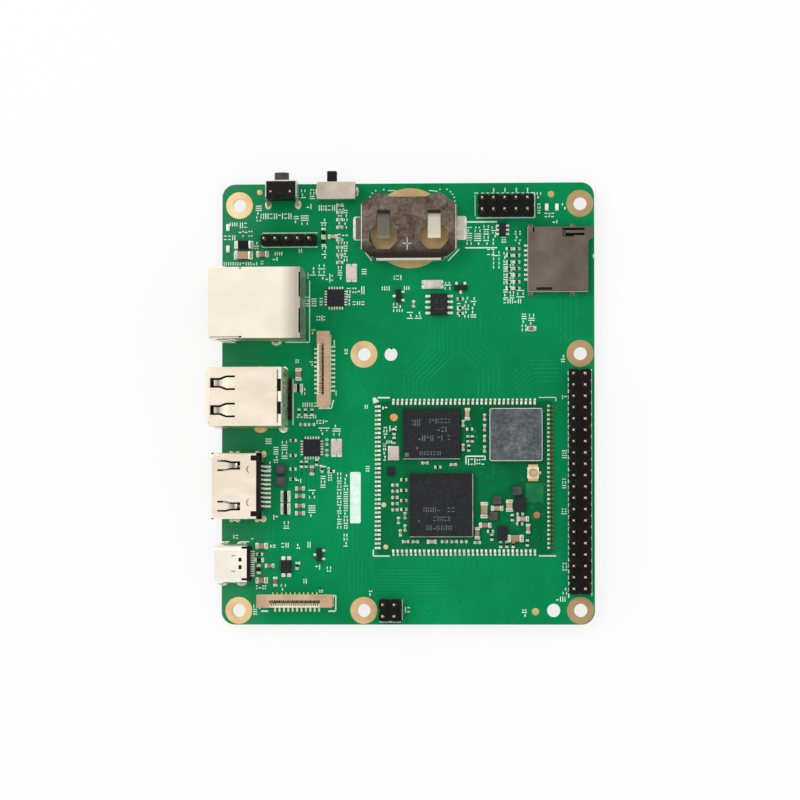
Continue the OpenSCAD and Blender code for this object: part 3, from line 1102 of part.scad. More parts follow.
module_resistors = [
    [s0402, [for (y = [-0.6, -3, -5.3, -7.3]) [-13.6, y, 0]]],
    [s0402, [for (i = [0:1]) [-15.8, 10.3 - 2 * i, 90]]],
    [s0402, [for (i = [0:2]) [8.3 + 1.4 * i, -15.25, 90]]],
    [s0402, [[1.3, 10.8, 0], [0.9, 8.6, 90], [1.9, 8.6, 90], [1.1, 6.5, 90], [-5.9, 2.2, 0]]],
    [s0402, [[12.7, -8.4, 0], [10.9, -9.2, 90], [12.6, -10.6, 0], [6, -12.3, 0], [6.3, -13.6, 90], [14.3, -14.9, 90]]]
];
module capacitors() color("Peru") {
    for (g = board_caps, p = g[1]) on_board(p[0], p[1], p[2]) part_middle(g[0]);
    for (g = module_caps, p = g[1]) on_module(p[0], p[1], p[2]) part_middle(g[0]);
}
module resistors() color([0.1, 0.1, 0.1]) {
    for (g = board_resistors, p = g[1]) on_board(p[0], p[1], p[2]) part_middle(g[0]);
    for (g = module_resistors, p = g[1]) on_module(p[0], p[1], p[2]) part_middle(g[0]);
}
module part_ends() color("Silver") {
    for (g = concat(board_caps, board_resistors), p = g[1]) on_board(p[0], p[1], p[2]) part_caps(g[0]);
    for (g = concat(module_caps, module_resistors), p = g[1]) on_module(p[0], p[1], p[2]) part_caps(g[0]);
}
// Wound coils in moulded blocks: x, y, side, height
board_coils = [[-29.1, -14.1, 2.3, 1.2], [-29.1, -16.8, 2.3, 1.2]];
module_coils = [[12.1, -3.2, 2.1, 1], [7.6, -5.3, 1.9, 0.9], [6.7, -8.9, 2, 0.9]];
module coil_body(s, h) linear_extrude(h) rounded(s, s * 0.92, 0.25);
module coils() color([0.15, 0.15, 0.15]) {
    for (c = board_coils) on_board(c[0], c[1]) coil_body(c[2], c[3]);
    for (c = module_coils) on_module(c[0], c[1]) coil_body(c[2], c[3]);
}
// Crystals in metal cans: x, y, turn, length, width
board_crystals = [[-13.1, 30.5, 90, 3.2, 2.5], [-16.5, -9.2, 90, 3.2, 2.5], [5.3, 27.8, 0, 4, 2]];
module crystal(l, w) {
    block([-l / 2, -w / 2, 0], [l / 2, w / 2, 0.4]);
    translate([0, 0, 0.4]) linear_extrude(0.4) rounded(l - 0.35, w - 0.35, 0.25);
}
module crystals() color("Silver") {
    for (c = board_crystals) on_board(c[0], c[1], c[2]) crystal(c[3], c[4]);
    on_module(-15.9, 5.4, 90) crystal(3.2, 2.5);
}
// Chips: x, y, turn
qfns = [[-16.7, 24.8, 0], [-22.1, -9.2, 0]];
soic_at = [6.8, 23.2, 90];
sots = [[11.7, 27, 180], [-2.4, 25.2, 90], [-20.4, -33.4, 90]];
six_way = [21.2, 40.1, 90];
driver = [-27.9, -36.1, 0];
module moulded(w, l, h, z0 = 0.1) {
    translate([0, 0, z0]) intersection() {
        rotate([90, 0, 0]) linear_extrude(l, center = true)
            polygon([[-w / 2 + 0.08, 0], [-w / 2, h * 0.45], [-w / 2 + 0.08, h], [w / 2 - 0.08, h], [w / 2, h * 0.45], [w / 2 - 0.08, 0]]);
        rotate([90, 0, 90]) linear_extrude(w, center = true)
            polygon([[-l / 2 + 0.08, 0], [-l / 2, h * 0.45], [-l / 2 + 0.08, h], [l / 2 - 0.08, h], [l / 2, h * 0.45], [l / 2 - 0.08, 0]]);
    }
}
// Leads spring from the long sides: count per side, pitch, half body width, reach
module gull(n, pitch, half, reach, z, w, sides = [-1, 1]) for (s = sides, i = [0:n - 1])
    translate([(i - (n - 1) / 2) * pitch, 0, 0]) rotate(s > 0 ? 90 : -90)
        bent([[half, z], [half + reach * 0.35, z], [half + reach * 0.5, lead_t / 2], [half + reach, lead_t / 2]], lead_t, w);
sot_h = 1;
module chip_bodies() color([0.13, 0.13, 0.14]) {
    for (c = qfns) on_board(c[0], c[1], c[2]) linear_extrude(qfn_h) rounded(3.9, 3.9, 0.1);
    on_board(soic_at[0], soic_at[1], soic_at[2]) moulded(4.9, 3.9, soic_h);
    for (c = sots) on_board(c[0], c[1], c[2]) moulded(2.9, 1.3, sot_h);
    on_board(six_way[0], six_way[1], six_way[2]) moulded(2.9, 1.6, sot_h);
    on_board(driver[0], driver[1], driver[2]) moulded(2.5, 3, 0.9, 0.05);
    on_module(-16.5, 1.3) linear_extrude(0.6) rounded(1.6, 1.9, 0.1);
    on_module(12.7, -6.2) linear_extrude(0.7) rounded(2.7, 3.1, 0.1);
    on_module(8.65, -12.7) linear_extrude(0.7) rounded(2.3, 3.2, 0.1);
}
module chip_leads() color("Silver") {
    for (c = qfns) on_board(c[0], c[1], c[2]) for (k = [0:3], i = [0:5]) rotate(90 * k)
        translate([2.12, (i - 2.5) * 0.6, 0.07]) cube([0.34, 0.32, 0.14], center = true);
    on_board(soic_at[0], soic_at[1], soic_at[2]) gull(4, 1.27, 1.95, 1.1, 0.1 + soic_h * 0.45, 0.42);
    for (c = sots) on_board(c[0], c[1], c[2]) {
        gull(1, 1, 0.65, 0.6, 0.1 + sot_h * 0.45, 0.4, [1]);
        gull(2, 1.9, 0.65, 0.6, 0.1 + sot_h * 0.45, 0.4, [-1]);
    }
    on_board(six_way[0], six_way[1], six_way[2]) gull(3, 0.95, 0.8, 0.6, 0.1 + sot_h * 0.45, 0.35);
    on_board(driver[0], driver[1], driver[2]) gull(2, 1.3, 1.5, 0.75, 0.05 + 0.4, 0.75);
}
lamp_spots = [[-41.3, 41, 90], [-41.3, 36.1, 90], [31.2, 45.2, 90], [33.5, 45.2, 90]];
module indicator_lamps() color("Honeydew") for (c = lamp_spots) on_board(c[0], c[1], c[2]) {
    block([-0.8, -0.4, 0], [0.8, 0.4, 0.25]);
    block([-0.55, -0.4, 0.25], [0.55, 0.4, 0.6]);
}

carrier_board();
mounting_rings();
coin_cell_pad();
coin_cell_clip();
module_board();
module_joints();
processor_chip();
memory_chip();
radio_chip();
shield_can();
antenna_socket_base();
antenna_socket_metal();
network_shield();
network_housing();
network_wires();
network_pins();
network_lamps();
usb_shell();
usb_housing();
usb_contacts();
video_shell();
video_insulator();
video_contacts();
power_shell();
power_insulator();
power_contacts();
reset_case();
reset_bracket();
reset_plunger();
reset_dome();
reset_terminals();
slide_cover();
slide_base();
slide_knob();
slide_terminals();
card_shell();
card_base();
card_contacts();
card_slider();
card_spring();
long_header_base();
ten_way_base();
five_way_base();
four_way_base();
long_header_pins();
short_header_pins();
side_ribbon_housing();
side_ribbon_lock();
end_ribbon_housing();
end_ribbon_lock();
ribbon_contacts();
chip_bodies();
chip_leads();
crystals();
capacitors();
resistors();
coils();
part_ends();
indicator_lamps();
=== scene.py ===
import json
import math
import random

import bmesh
import bpy
from mathutils import Matrix, Vector


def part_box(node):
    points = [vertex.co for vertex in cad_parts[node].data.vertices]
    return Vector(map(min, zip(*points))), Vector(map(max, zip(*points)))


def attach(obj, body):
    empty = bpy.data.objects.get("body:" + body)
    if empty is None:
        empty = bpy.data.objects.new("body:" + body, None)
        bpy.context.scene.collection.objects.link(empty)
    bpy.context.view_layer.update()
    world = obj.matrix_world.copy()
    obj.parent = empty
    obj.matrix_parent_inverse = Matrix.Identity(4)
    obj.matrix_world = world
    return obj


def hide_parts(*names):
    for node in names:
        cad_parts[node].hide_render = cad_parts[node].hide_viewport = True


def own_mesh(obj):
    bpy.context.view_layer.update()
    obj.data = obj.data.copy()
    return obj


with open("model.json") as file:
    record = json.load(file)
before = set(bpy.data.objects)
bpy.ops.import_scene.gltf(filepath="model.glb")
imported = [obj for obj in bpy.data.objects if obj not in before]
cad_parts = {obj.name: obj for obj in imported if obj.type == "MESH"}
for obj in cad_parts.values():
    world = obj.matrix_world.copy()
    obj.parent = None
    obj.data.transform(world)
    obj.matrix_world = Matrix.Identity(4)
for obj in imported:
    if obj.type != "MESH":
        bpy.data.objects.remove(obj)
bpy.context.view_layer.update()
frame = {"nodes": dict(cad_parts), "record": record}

nodes = frame["nodes"]
mm = 0.001
boardTop = 1.6   # mm above the mounting plane
moduleTop = 2.8
print("stage 1: frame loaded,", len(nodes), "solids")


# Camera and view

cameraSet = {"aimX": -2.1, "aimY": 1.6, "height": 1.6, "distance": 1000.0, "fromRight": 4.0, "fromFront": 2.7,
             "lens": 198.7, "sensor": 36.0, "near": 0.05, "far": 20.0}


def link(piece):
    bpy.context.scene.collection.objects.link(piece)


def placeCamera():
    values = cameraSet
    data = bpy.data.cameras.new("studioCamera")
    camera = bpy.data.objects.new("studioCamera", data)
    link(camera)
    data.sensor_width = values["sensor"]
    data.sensor_fit = "HORIZONTAL"
    data.lens = values["lens"]
    data.clip_start = values["near"]
    data.clip_end = values["far"]
    aim = Vector((values["aimX"], values["aimY"], values["height"])) * mm
    tiltX, tiltY = math.radians(values["fromRight"]), math.radians(values["fromFront"])
    back = Vector((math.tan(tiltX), -math.tan(tiltY), 1.0)).normalized()
    right = Vector((0, 1, 0)).cross(back).normalized()
    place = Matrix((right, back.cross(right), back)).transposed().to_4x4()
    place.translation = aim + back * values["distance"] * mm
    camera.matrix_world = place
    bpy.context.scene.camera = camera


placeCamera()
bpy.context.scene.view_settings.view_transform = "Standard"


# Node helpers

black, white = (0, 0, 0), (255, 255, 255)
looks = {}   # every material by its name


def linearColor(rgb):
    parts = [value / 255.0 for value in rgb]
    return tuple(part / 12.92 if part <= 0.04045 else ((part + 0.055) / 1.055) ** 2.4 for part in parts) + (1.0,)


def addNode(material, kind, inputs, **settings):
    # a shader node; each input gets a value, or the output that is linked to it
    tree = material.node_tree
    node = tree.nodes.new("ShaderNode" + kind)
    for name, value in settings.items():
        setattr(node, name, value)
    for name, value in inputs.items():
        if isinstance(value, bpy.types.NodeSocket):
            tree.links.new(value, node.inputs[name])
        else:
            node.inputs[name].default_value = value
    return node


def shaderOf(material):
    return material.node_tree.nodes["Principled BSDF"]


def newMaterial(name, color, rough, metal, level):
    material = bpy.data.materials.new(name)
    material.use_nodes = True
    values = {"Base Color": linearColor(color), "Roughness": rough, "Metallic": metal, "Specular IOR Level": level}
    for key, value in values.items():
        shaderOf(material).inputs[key].default_value = value
    looks[name] = material
    return material


def setInput(material, source, name="Base Color"):
    material.node_tree.links.new(source, shaderOf(material).inputs[name])


def axisField(material, axis, space="Object"):
    # one axis of the object's own coordinates, or of the surface's direction
    coords = addNode(material, "TexCoord", {})
    return addNode(material, "SeparateXYZ", {"Vector": coords.outputs[space]}).outputs[axis]


def flatness(material):
    # 0 on upright walls, 1 on flat faces
    return addNode(material, "Math", {0: axisField(material, "Z", "Normal")}, operation="ABSOLUTE").outputs["Value"]


def rescaled(material, source, start, end, low=0.0, high=1.0):
    node = addNode(material, "MapRange", {"From Min": start, "From Max": end, "To Min": low, "To Max": high,
                                          "Value": source})
    return node.outputs["Result"]


def between(material, axis, start, end):
    # 0 at start, 1 at end, both in mm along an axis
    return rescaled(material, axisField(material, axis), start * mm, end * mm)


def noiseField(material, scale, detail=3.0, rough=0.5, stretch=(1, 1, 1), warp=0.0):
    coords = addNode(material, "TexCoord", {})
    mapping = addNode(material, "Mapping", {"Scale": stretch, "Vector": coords.outputs["Object"]})
    noise = addNode(material, "TexNoise", {"Scale": scale, "Detail": detail, "Roughness": rough, "Distortion": warp,
                                           "Vector": mapping.outputs["Vector"]})
    return noise.outputs["Fac"]


def ramp(material, source, *stops):
    # each stop is a place from 0 to 1 and a colour
    node = addNode(material, "ValToRGB", {"Fac": source})
    elements = node.color_ramp.elements
    while len(elements) < len(stops):
        elements.new(0.5)
    for element, (place, color) in zip(elements, stops):
        element.position = place
        element.color = linearColor(color)
    return node.outputs["Color"]


def mixColors(material, factor, first, second, kind="MIX"):
    first, second = [c if isinstance(c, bpy.types.NodeSocket) else linearColor(c) for c in (first, second)]
    # inputs 6 and 7 and output 2 are the node's colours
    node = addNode(material, "Mix", {0: factor, 6: first, 7: second}, data_type="RGBA", blend_type=kind)
    return node.outputs[2]


def tint(material, factor, color, kind="MIX"):
    # another colour over the base colour so far
    base = shaderOf(material).inputs["Base Color"].links[0].from_socket
    setInput(material, mixColors(material, factor, base, color, kind))


def mottle(material, dark, light, scale, detail, low, high, stretch=(1, 1, 1), warp=0.0):
    setInput(material, ramp(material, noiseField(material, scale, detail, 0.55, stretch, warp),
                            (low, dark), (high, light)))


def roughSpread(material, low, high, scale, stretch=(1, 1, 1)):
    source = noiseField(material, scale, 2.0, 0.5, stretch)
    setInput(material, rescaled(material, source, 0.35, 0.65, low, high), "Roughness")


def grain(material, scale, depth, stretch=(1, 1, 1)):
    source = noiseField(material, scale, 2.0, 0.6, stretch)
    bump = addNode(material, "Bump", {"Strength": 1.0, "Distance": depth * mm, "Height": source})
    setInput(material, bump.outputs["Normal"], "Normal")


def paintedFacingLight(material, edge, side):
    # painted light by how a face is turned: the edge tone goes where an edge is rounded, the side tone on upright
    # walls; a lighter tone is a painted highlight, a darker one painted shade
    level = flatness(material)
    if side:
        tint(material, ramp(material, level, (0.12, white), (0.3, black)), side)
    if edge:
        tint(material, ramp(material, level, (0.22, black), (0.4, white), (0.9, white), (0.975, black)), edge)


# Materials

def lacquer(name, dark, light, edge):
    # broad clouds, fine grain, a slow drift over the board, greyer towards -X, and fibres on the cut edge
    material = newMaterial(name, light, 0.4, 0.0, 0.055)
    mottle(material, dark, light, 38, 4.0, 0.3, 0.7, warp=0.6)
    fine = ramp(material, noiseField(material, 900, 3.0, 0.6, (1, 0.35, 1)), (0.35, (226, 230, 226)), (0.65, white))
    tint(material, 0.35, fine, "MULTIPLY")
    drift = ramp(material, noiseField(material, 16, 2.0), (0.36, (220, 236, 230)), (0.6, white))
    tint(material, 0.8, drift, "MULTIPLY")
    tint(material, between(material, "X", -30.0, -52.0), (60, 122, 88))
    fibres = noiseField(material, 400, 3.0, 0.6, (0.15, 0.15, 6))
    cut = ramp(material, fibres, (0.3, edge), (0.7, [min(255, c + 35) for c in edge]))
    tint(material, rescaled(material, flatness(material), 0.7, 0.3), cut)
    roughSpread(material, 0.36, 0.5, 500)
    grain(material, 700, 0.006)


def finish(name, color, dark, light, scale, rough, metal=0.0, depth=0.006, fine=1500, low=0.3, high=0.7,
           stretch=(1, 1, 1), level=0.5, detail=3.0, edge=None, side=None):
    # a base tone with mottling at its real scale, uneven roughness and a fine grain, and painted light on rounded
    # edges and upright walls where edge or side is given
    material = newMaterial(name, color, rough, metal, level)
    mottle(material, dark, light, scale, detail, low, high, stretch)
    roughSpread(material, max(0.1, rough - 0.07), rough + 0.08, scale * 2.5, stretch)
    grain(material, fine, depth, stretch)
    if edge or side:
        paintedFacingLight(material, edge, side)
    return material


# painted shade: a darker colour that grows along one axis
def paintedShadeAlong(name, axis, start, end, color):
    tint(looks[name], between(looks[name], axis, start, end), color)


def paintedShadeInside(name, top, color=(22, 16, 14)):
    # painted shade on springs and inner faces of a shell, below its top plate
    material = looks[name]
    level = ramp(material, axisField(material, "Z", "Normal"), (0.7, black), (0.85, white))
    both = mixColors(material, 1.0, level, between(material, "Z", top - 0.1, top - 0.5), "MULTIPLY")
    tint(material, both, color)


def brushedCan(name):
    # bead-blasted lid: fine grey speckle over softer cloudy patches, with a painted highlight on its rounded edges
    # and painted light on its walls
    material = finish(name, (96, 101, 103), (74, 79, 82), (122, 126, 128), 1500, 0.42, 0.7, 0.01, 1400, detail=4.0)
    clouds = ramp(material, noiseField(material, 260), (0.35, (204, 208, 210)), (0.65, white))
    tint(material, 1.0, clouds, "MULTIPLY")
    paintedFacingLight(material, (250, 250, 246), (150, 150, 146))


def stainedSpringWithPaintedLight(name):
    # sprung steel of the coin cell clip: cold-rolled grain, stains, painted shade along the bent lower edge and at a
    # finger's root, and a painted highlight on the sunk finger and on rounded edges
    material = finish(name, (122, 110, 102), (94, 82, 76), (146, 134, 123), 1700, 0.34, 0.85, 0.008, 900, detail=5.0)
    stain = ramp(material, noiseField(material, 150, 5.0, 0.6, warp=1.6),
                 (0.3, (150, 136, 130)), (0.5, (222, 216, 210)), (0.72, white))
    tint(material, 1.0, stain, "MULTIPLY")
    # painted shade along the lower edge, where the plate bends down
    tint(material, between(material, "Y", 37.6, 34.4), (44, 36, 32))
    tint(material, between(material, "Z", 6.14, 5.98), (46, 38, 34))   # painted shade at the bend of a finger's root
    # painted highlight on the sunk finger, darker towards -X
    fingerHighlight = mixColors(material, between(material, "X", -1.0, 1.0), (112, 110, 98), (214, 206, 186))
    tint(material, between(material, "Z", 5.76, 5.5), fingerHighlight)
    paintedFacingLight(material, (236, 230, 220), None)


lacquer("boardLacquer", (0, 132, 76), (1, 150, 90), (96, 128, 72))
lacquer("moduleLacquer", (0, 92, 50), (2, 118, 66), (90, 116, 66))
brushedCan("canSteel")
stainedSpringWithPaintedLight("clipSteel")

# base, dark and light tone, scale of the mottling, roughness, metal, depth and scale of the grain
finish("goldPlate", (230, 200, 140), (214, 176, 112), (246, 220, 168), 260, 0.32, 0.8, 0.004)
# pins: the bright base is a painted highlight on the flat tips, the edge and side tones are painted shade on the
# tapers and walls
finish("pinGold", (240, 232, 208), (226, 212, 176), (252, 246, 228), 500, 0.3, 0.75, 0.004,
       edge=(170, 150, 108), side=(136, 114, 74))
finish("ringGold", (232, 200, 142), (214, 176, 120), (246, 220, 168), 160, 0.45, 0.35, 0.005, 1200)
finish("padGold", (206, 174, 118), (188, 152, 98), (222, 192, 136), 140, 0.42, 0.4, 0.006, 900, detail=4.0)
finish("copperGold", (232, 160, 92), (214, 140, 74), (245, 184, 120), 700, 0.35, 0.6)
finish("combGold", (252, 240, 196), (236, 218, 164), (255, 250, 224), 500, 0.32, 0.45)
finish("legGold", (222, 178, 104), (196, 150, 78), (240, 204, 136), 500, 0.36, 0.5)
finish("dullCopper", (176, 112, 76), (150, 92, 60), (196, 132, 92), 700, 0.45, 0.3)
finish("padTin", (214, 200, 160), (186, 168, 124), (238, 228, 196), 600, 0.35, 0.55)
finish("landTin", (226, 234, 220), (196, 208, 190), (246, 250, 240), 700, 0.34, 0.5)
finish("tinPlate", (236, 234, 224), (208, 204, 192), (252, 250, 242), 500, 0.3, 0.75)
finish("brightSolder", (232, 232, 222), (190, 190, 176), (252, 252, 244), 900, 0.3, 0.7, 0.02)
for name in ("castSolder", "jointTin"):
    finish(name, (238, 240, 230), (205, 205, 188), (254, 254, 246), 700, 0.34, 0.5, 0.02)
# the edge tones of the steels below are painted highlights on their rounded edges
for name, dark in (("paleSteel", (246, 230, 206)), ("usbSteel", (244, 228, 204))):
    finish(name, (252, 238, 216), dark, (255, 242, 222), 60, 0.24, 0.9, 0.001, 1400, stretch=(1, 2.2, 1),
           edge=(255, 254, 242))
finish("creamSteel", (255, 246, 226), (252, 240, 218), (255, 248, 230), 40, 0.26, 0.88, 0.001, 1200,
       edge=(255, 255, 246))
finish("ivorySteel", (255, 248, 230), (250, 240, 220), (255, 252, 238), 60, 0.26, 0.85, 0.001, 1400,
       edge=(255, 255, 248))
finish("switchSteel", (190, 179, 162), (168, 156, 140), (210, 200, 184), 140, 0.36, 0.8, 0.003, 1300,
       edge=(250, 246, 236))
finish("cardSteel", (108, 97, 85), (92, 82, 71), (126, 114, 100), 110, 0.38, 0.85, 0.002, 1200,
       edge=(226, 220, 208))
finish("crystalSteel", (206, 192, 184), (190, 176, 166), (222, 210, 202), 300, 0.34, 0.7, 0.003,
       edge=(252, 248, 240))
finish("chipBlack", (34, 36, 39), (27, 29, 31), (42, 45, 48), 1600, 0.55, 0.0, 0.01, 2200, level=0.14, detail=4.0)
finish("socketBlack", (20, 16, 16), (14, 11, 11), (28, 23, 22), 600, 0.48, 0.0, 0.008, level=0.14)
finish("greyPlastic", (66, 66, 66), (54, 54, 54), (84, 84, 84), 700, 0.45, 0.0, 0.008, level=0.2)
finish("lockTan", (190, 160, 128), (178, 146, 114), (204, 174, 142), 260, 0.5, level=0.2)
finish("housingCream", (250, 240, 210), (238, 224, 190), (255, 248, 226), 300, 0.5, level=0.3)
# painted shade on the capacitors' upright walls
finish("ceramicTan", (164, 136, 108), (128, 108, 88), (190, 160, 128), 60, 0.5, 0.0, 0.01, 1800, 0.4, 0.6,
       level=0.2, side=(96, 76, 60))
finish("lampClear", (236, 244, 232), (218, 230, 212), (248, 252, 244), 500, 0.25, 0.0, 0.004)
finish("socketWhite", (245, 240, 225), (232, 225, 205), (252, 248, 236), 600, 0.5, 0.0, 0.006, 1600, level=0.3)
finish("coveredCopper", (6, 146, 88), (0, 134, 78), (12, 156, 96), 90, 0.42, 0.0, 0.004, level=0.06)
finish("moduleCopper", (14, 124, 72), (8, 114, 64), (20, 134, 80), 90, 0.42, 0.0, 0.004, level=0.06)
finish("deepGreen", (0, 92, 54), (0, 80, 46), (2, 104, 62), 400, 0.5, level=0.06)
finish("bareLaminate", (30, 118, 72), (24, 108, 64), (40, 128, 80), 300, 0.5, 0.0, 0.004, level=0.08)
for name, *tones in (("whiteInk", (226, 246, 236), (208, 234, 220), (240, 252, 246), 700),
                     ("greyInk", (98, 106, 106), (84, 92, 92), (112, 120, 120), 900),
                     ("darkInk", (66, 68, 68), (58, 60, 60), (78, 80, 80), 900)):
    finish(name, *tones, 0.6, 0.0, 0.01, 1800, level=0.1)
finish("paleStamp", (172, 164, 152), (150, 142, 132), (196, 188, 178), 900, 0.5, 0.3, 0.01)
# painted highlight on the chip edges
finish("paintedChipEdgeLight", (150, 166, 158), (120, 134, 128), (186, 198, 190), 500, 0.5)
# painted shade: the mounting rings darker towards +X, the network shield's top towards its rear edge, the module's
# joints at its right edge
paintedShadeAlong("ringGold", "X", -30.0, 55.0, (160, 128, 86))
paintedShadeAlong("creamSteel", "X", -28.0, -24.6, (196, 184, 172))
paintedShadeAlong("jointTin", "X", 31.4, 31.9, (140, 134, 92))
# painted shade inside the USB and video shells
paintedShadeInside("usbSteel", 17.0)
paintedShadeInside("paleSteel", 7.5)

coats = {
    "boardLacquer": "carrier_board", "moduleLacquer": "module_board", "ringGold": "mounting_rings",
    "padGold": "coin_cell_pad", "jointTin": "module_joints", "clipSteel": "coin_cell_clip",
    "cardSteel": "card_shell", "chipBlack": "processor_chip memory_chip radio_chip chip_bodies",
    "canSteel": "shield_can", "crystalSteel": "crystals", "switchSteel": "slide_cover",
    "socketWhite": "antenna_socket_base", "goldPlate": "antenna_socket_metal network_wires usb_contacts",
    "pinGold": "long_header_pins short_header_pins", "creamSteel": "network_shield", "usbSteel": "usb_shell",
    "paleSteel": "video_shell", "ivorySteel": "power_shell",
    "socketBlack": "network_housing usb_housing video_insulator power_insulator reset_case slide_base slide_knob "
                   "card_base long_header_base ten_way_base five_way_base four_way_base resistors",
    "greyPlastic": "reset_plunger card_slider coils",
    "tinPlate": "network_pins video_contacts power_contacts card_contacts reset_bracket reset_dome "
                "reset_terminals slide_terminals card_spring chip_leads part_ends",
    "combGold": "ribbon_contacts", "lampClear": "network_lamps indicator_lamps",
    "housingCream": "side_ribbon_housing end_ribbon_housing", "lockTan": "side_ribbon_lock end_ribbon_lock",
    "ceramicTan": "capacitors",
}
for look, names in coats.items():
    for name in names.split():
        nodes[name].data.materials.clear()
        nodes[name].data.materials.append(looks[look])
print("stage 2: materials made, unpainted:", sorted(set(nodes) - set(" ".join(coats.values()).split())))


# Modelling helpers

def nothingSelected():
    if bpy.context.object and bpy.context.object.mode != "OBJECT":
        bpy.ops.object.mode_set(mode="OBJECT")
    bpy.ops.object.select_all(action="DESELECT")


def makeActive(piece):
    nothingSelected()
    piece.select_set(True)
    bpy.context.view_layer.objects.active = piece


def openShape():
    # the shape added last, open for editing, with all of it picked
    bpy.ops.object.mode_set(mode="EDIT")
    bpy.ops.mesh.select_all(action="SELECT")
    return bpy.context.active_object


def openPlane():
    nothingSelected()
    bpy.ops.mesh.primitive_plane_add(size=1.0 * mm, location=(0, 0, 0))
    return openShape()


def extrudeUp(height):
    bpy.ops.mesh.extrude_region_move(TRANSFORM_OT_translate={"value": (0, 0, height * mm)})


def closeShape(piece):
    bpy.ops.mesh.select_all(action="SELECT")
    bpy.ops.mesh.normals_make_consistent(inside=False)
    bpy.ops.object.mode_set(mode="OBJECT")
    return piece


def finishPiece(piece, name, look, body="board", smooth=None):
    piece.name = name
    piece.data.name = name
    piece.data.materials.clear()
    piece.data.materials.append(looks[look])
    if smooth is not None:
        makeActive(piece)
        bpy.ops.object.shade_smooth_by_angle(angle=math.radians(smooth))
    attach(piece, body)


def spread(source, places, name, look, smooth=None):
    # one piece of copies of the source: x, y, z, turn about Z, scales, and True where a copy is flipped
    made = []
    for x, y, z, turn, sx, sy, sz, *flipped in places:
        mesh = source.data.copy()
        move = Matrix.Translation(Vector((x, y, z)) * mm) @ Matrix.Rotation(turn, 4, "Z")
        if flipped:
            move = move @ Matrix.Rotation(math.pi, 4, "X")
        mesh.transform(move @ Matrix.Diagonal((sx, sy, sz, 1)))
        copy = bpy.data.objects.new("copy", mesh)
        link(copy)
        made.append(copy)
    nothingSelected()
    for copy in made:
        copy.select_set(True)
    bpy.context.view_layer.objects.active = made[0]
    if len(made) > 1:
        bpy.ops.object.join()
    bpy.data.objects.remove(source, do_unlink=True)
    finishPiece(made[0], name, look, smooth=smooth)


def fromPhoto(px, py):
    # place on the board's face, in mm, of a point measured in the photograph
    return (px - 409.4) / 4.385, (408.4 - py) / 4.42


# Rounded edges on the sheet metal, mouldings and chips

edgeSet = {
    "network_shield": 0.05, "usb_shell": 0.05, "video_shell": 0.05, "power_shell": 0.06, "card_shell": 0.09,
    "coin_cell_clip": 0.12, "slide_cover": 0.1, "reset_bracket": 0.05, "shield_can": 0.06, "crystals": 0.08,
    "network_housing": 0.06, "usb_housing": 0.06, "reset_case": 0.08, "slide_knob": 0.08,
    "processor_chip": 0.05, "memory_chip": 0.05, "chip_bodies": 0.03, "coils": 0.08,
    "long_header_base": 0.06, "ten_way_base": 0.06, "five_way_base": 0.06, "four_way_base": 0.06,
    "side_ribbon_housing": 0.04, "end_ribbon_housing": 0.04, "side_ribbon_lock": 0.07, "end_ribbon_lock": 0.07,
    "capacitors": 0.05, "resistors": 0.03, "part_ends": 0.07, "indicator_lamps": 0.06, "card_base": 0.04,
    "antenna_socket_base": 0.05, "long_header_pins": 0.05, "short_header_pins": 0.05,
}
roundSet = {"merge": 0.002, "flat": 0.4, "sharp": 38, "smooth": 46, "bendAngle": 0.5}
# bends of sheet metal: which edge ends, and the round
bends = {
    "coin_cell_clip": (lambda p: p.z > 6.15 and abs(abs(p.x - 0.15) - 10.85) < 0.05 and abs(p.y - 40.6) < 5.1, 0.34),
    "shield_can": (lambda p: p.z > 4.35 and max(abs(p.x - 24.3), abs(p.y + 6.4)) > 5.3, 0.26),
    "card_shell": (lambda p: p.z > 3.45 and (p.y < 25.85 or p.x < 26.95), 0.16),
}


def bendEdges(piece, test, width):
    # a wider round along the edges whose two ends pass the test
    bpy.ops.mesh.select_all(action="DESELECT")
    shape = bmesh.from_edit_mesh(piece.data)
    for edge in shape.edges:
        if all(test(vertex.co / mm) for vertex in edge.verts) and edge.calc_face_angle(0) > roundSet["bendAngle"]:
            edge.select_set(True)
    bmesh.update_edit_mesh(piece.data)
    bpy.ops.mesh.bevel(offset=width * mm, segments=4, affect="EDGES")


def roundEdges(nodeName, width):
    source = nodes[nodeName]
    piece = source.copy()
    piece.data = source.data.copy()
    link(piece)
    makeActive(piece)
    bpy.ops.object.mode_set(mode="EDIT")
    bpy.ops.mesh.select_all(action="SELECT")
    bpy.ops.mesh.remove_doubles(threshold=roundSet["merge"] * mm)
    bpy.ops.mesh.dissolve_limited(angle_limit=math.radians(roundSet["flat"]))
    if nodeName in bends:
        bendEdges(piece, *bends[nodeName])
    bpy.ops.object.mode_set(mode="OBJECT")
    bevel = piece.modifiers.new("edgeRound", "BEVEL")
    bevel.width = width * mm
    bevel.segments = 2
    bevel.limit_method = "ANGLE"
    bevel.angle_limit = math.radians(roundSet["sharp"])
    bevel.use_clamp_overlap = True
    bpy.ops.object.modifier_apply(modifier="edgeRound")
    name = nodeName.title().replace("_", "")
    look = source.data.materials[0].name
    body = next(body for body, members in frame["record"]["behaviour"]["bodies"].items() if nodeName in members)
    finishPiece(piece, name[0].lower() + name[1:], look, body, roundSet["smooth"])
    facing = piece.modifiers.new("facing", "WEIGHTED_NORMAL")
    facing.keep_sharp = True
    facing.weight = 100
    bpy.ops.object.modifier_apply(modifier="facing")
    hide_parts(nodeName)
    return piece


for nodeName, width in edgeSet.items():
    roundEdges(nodeName, width)

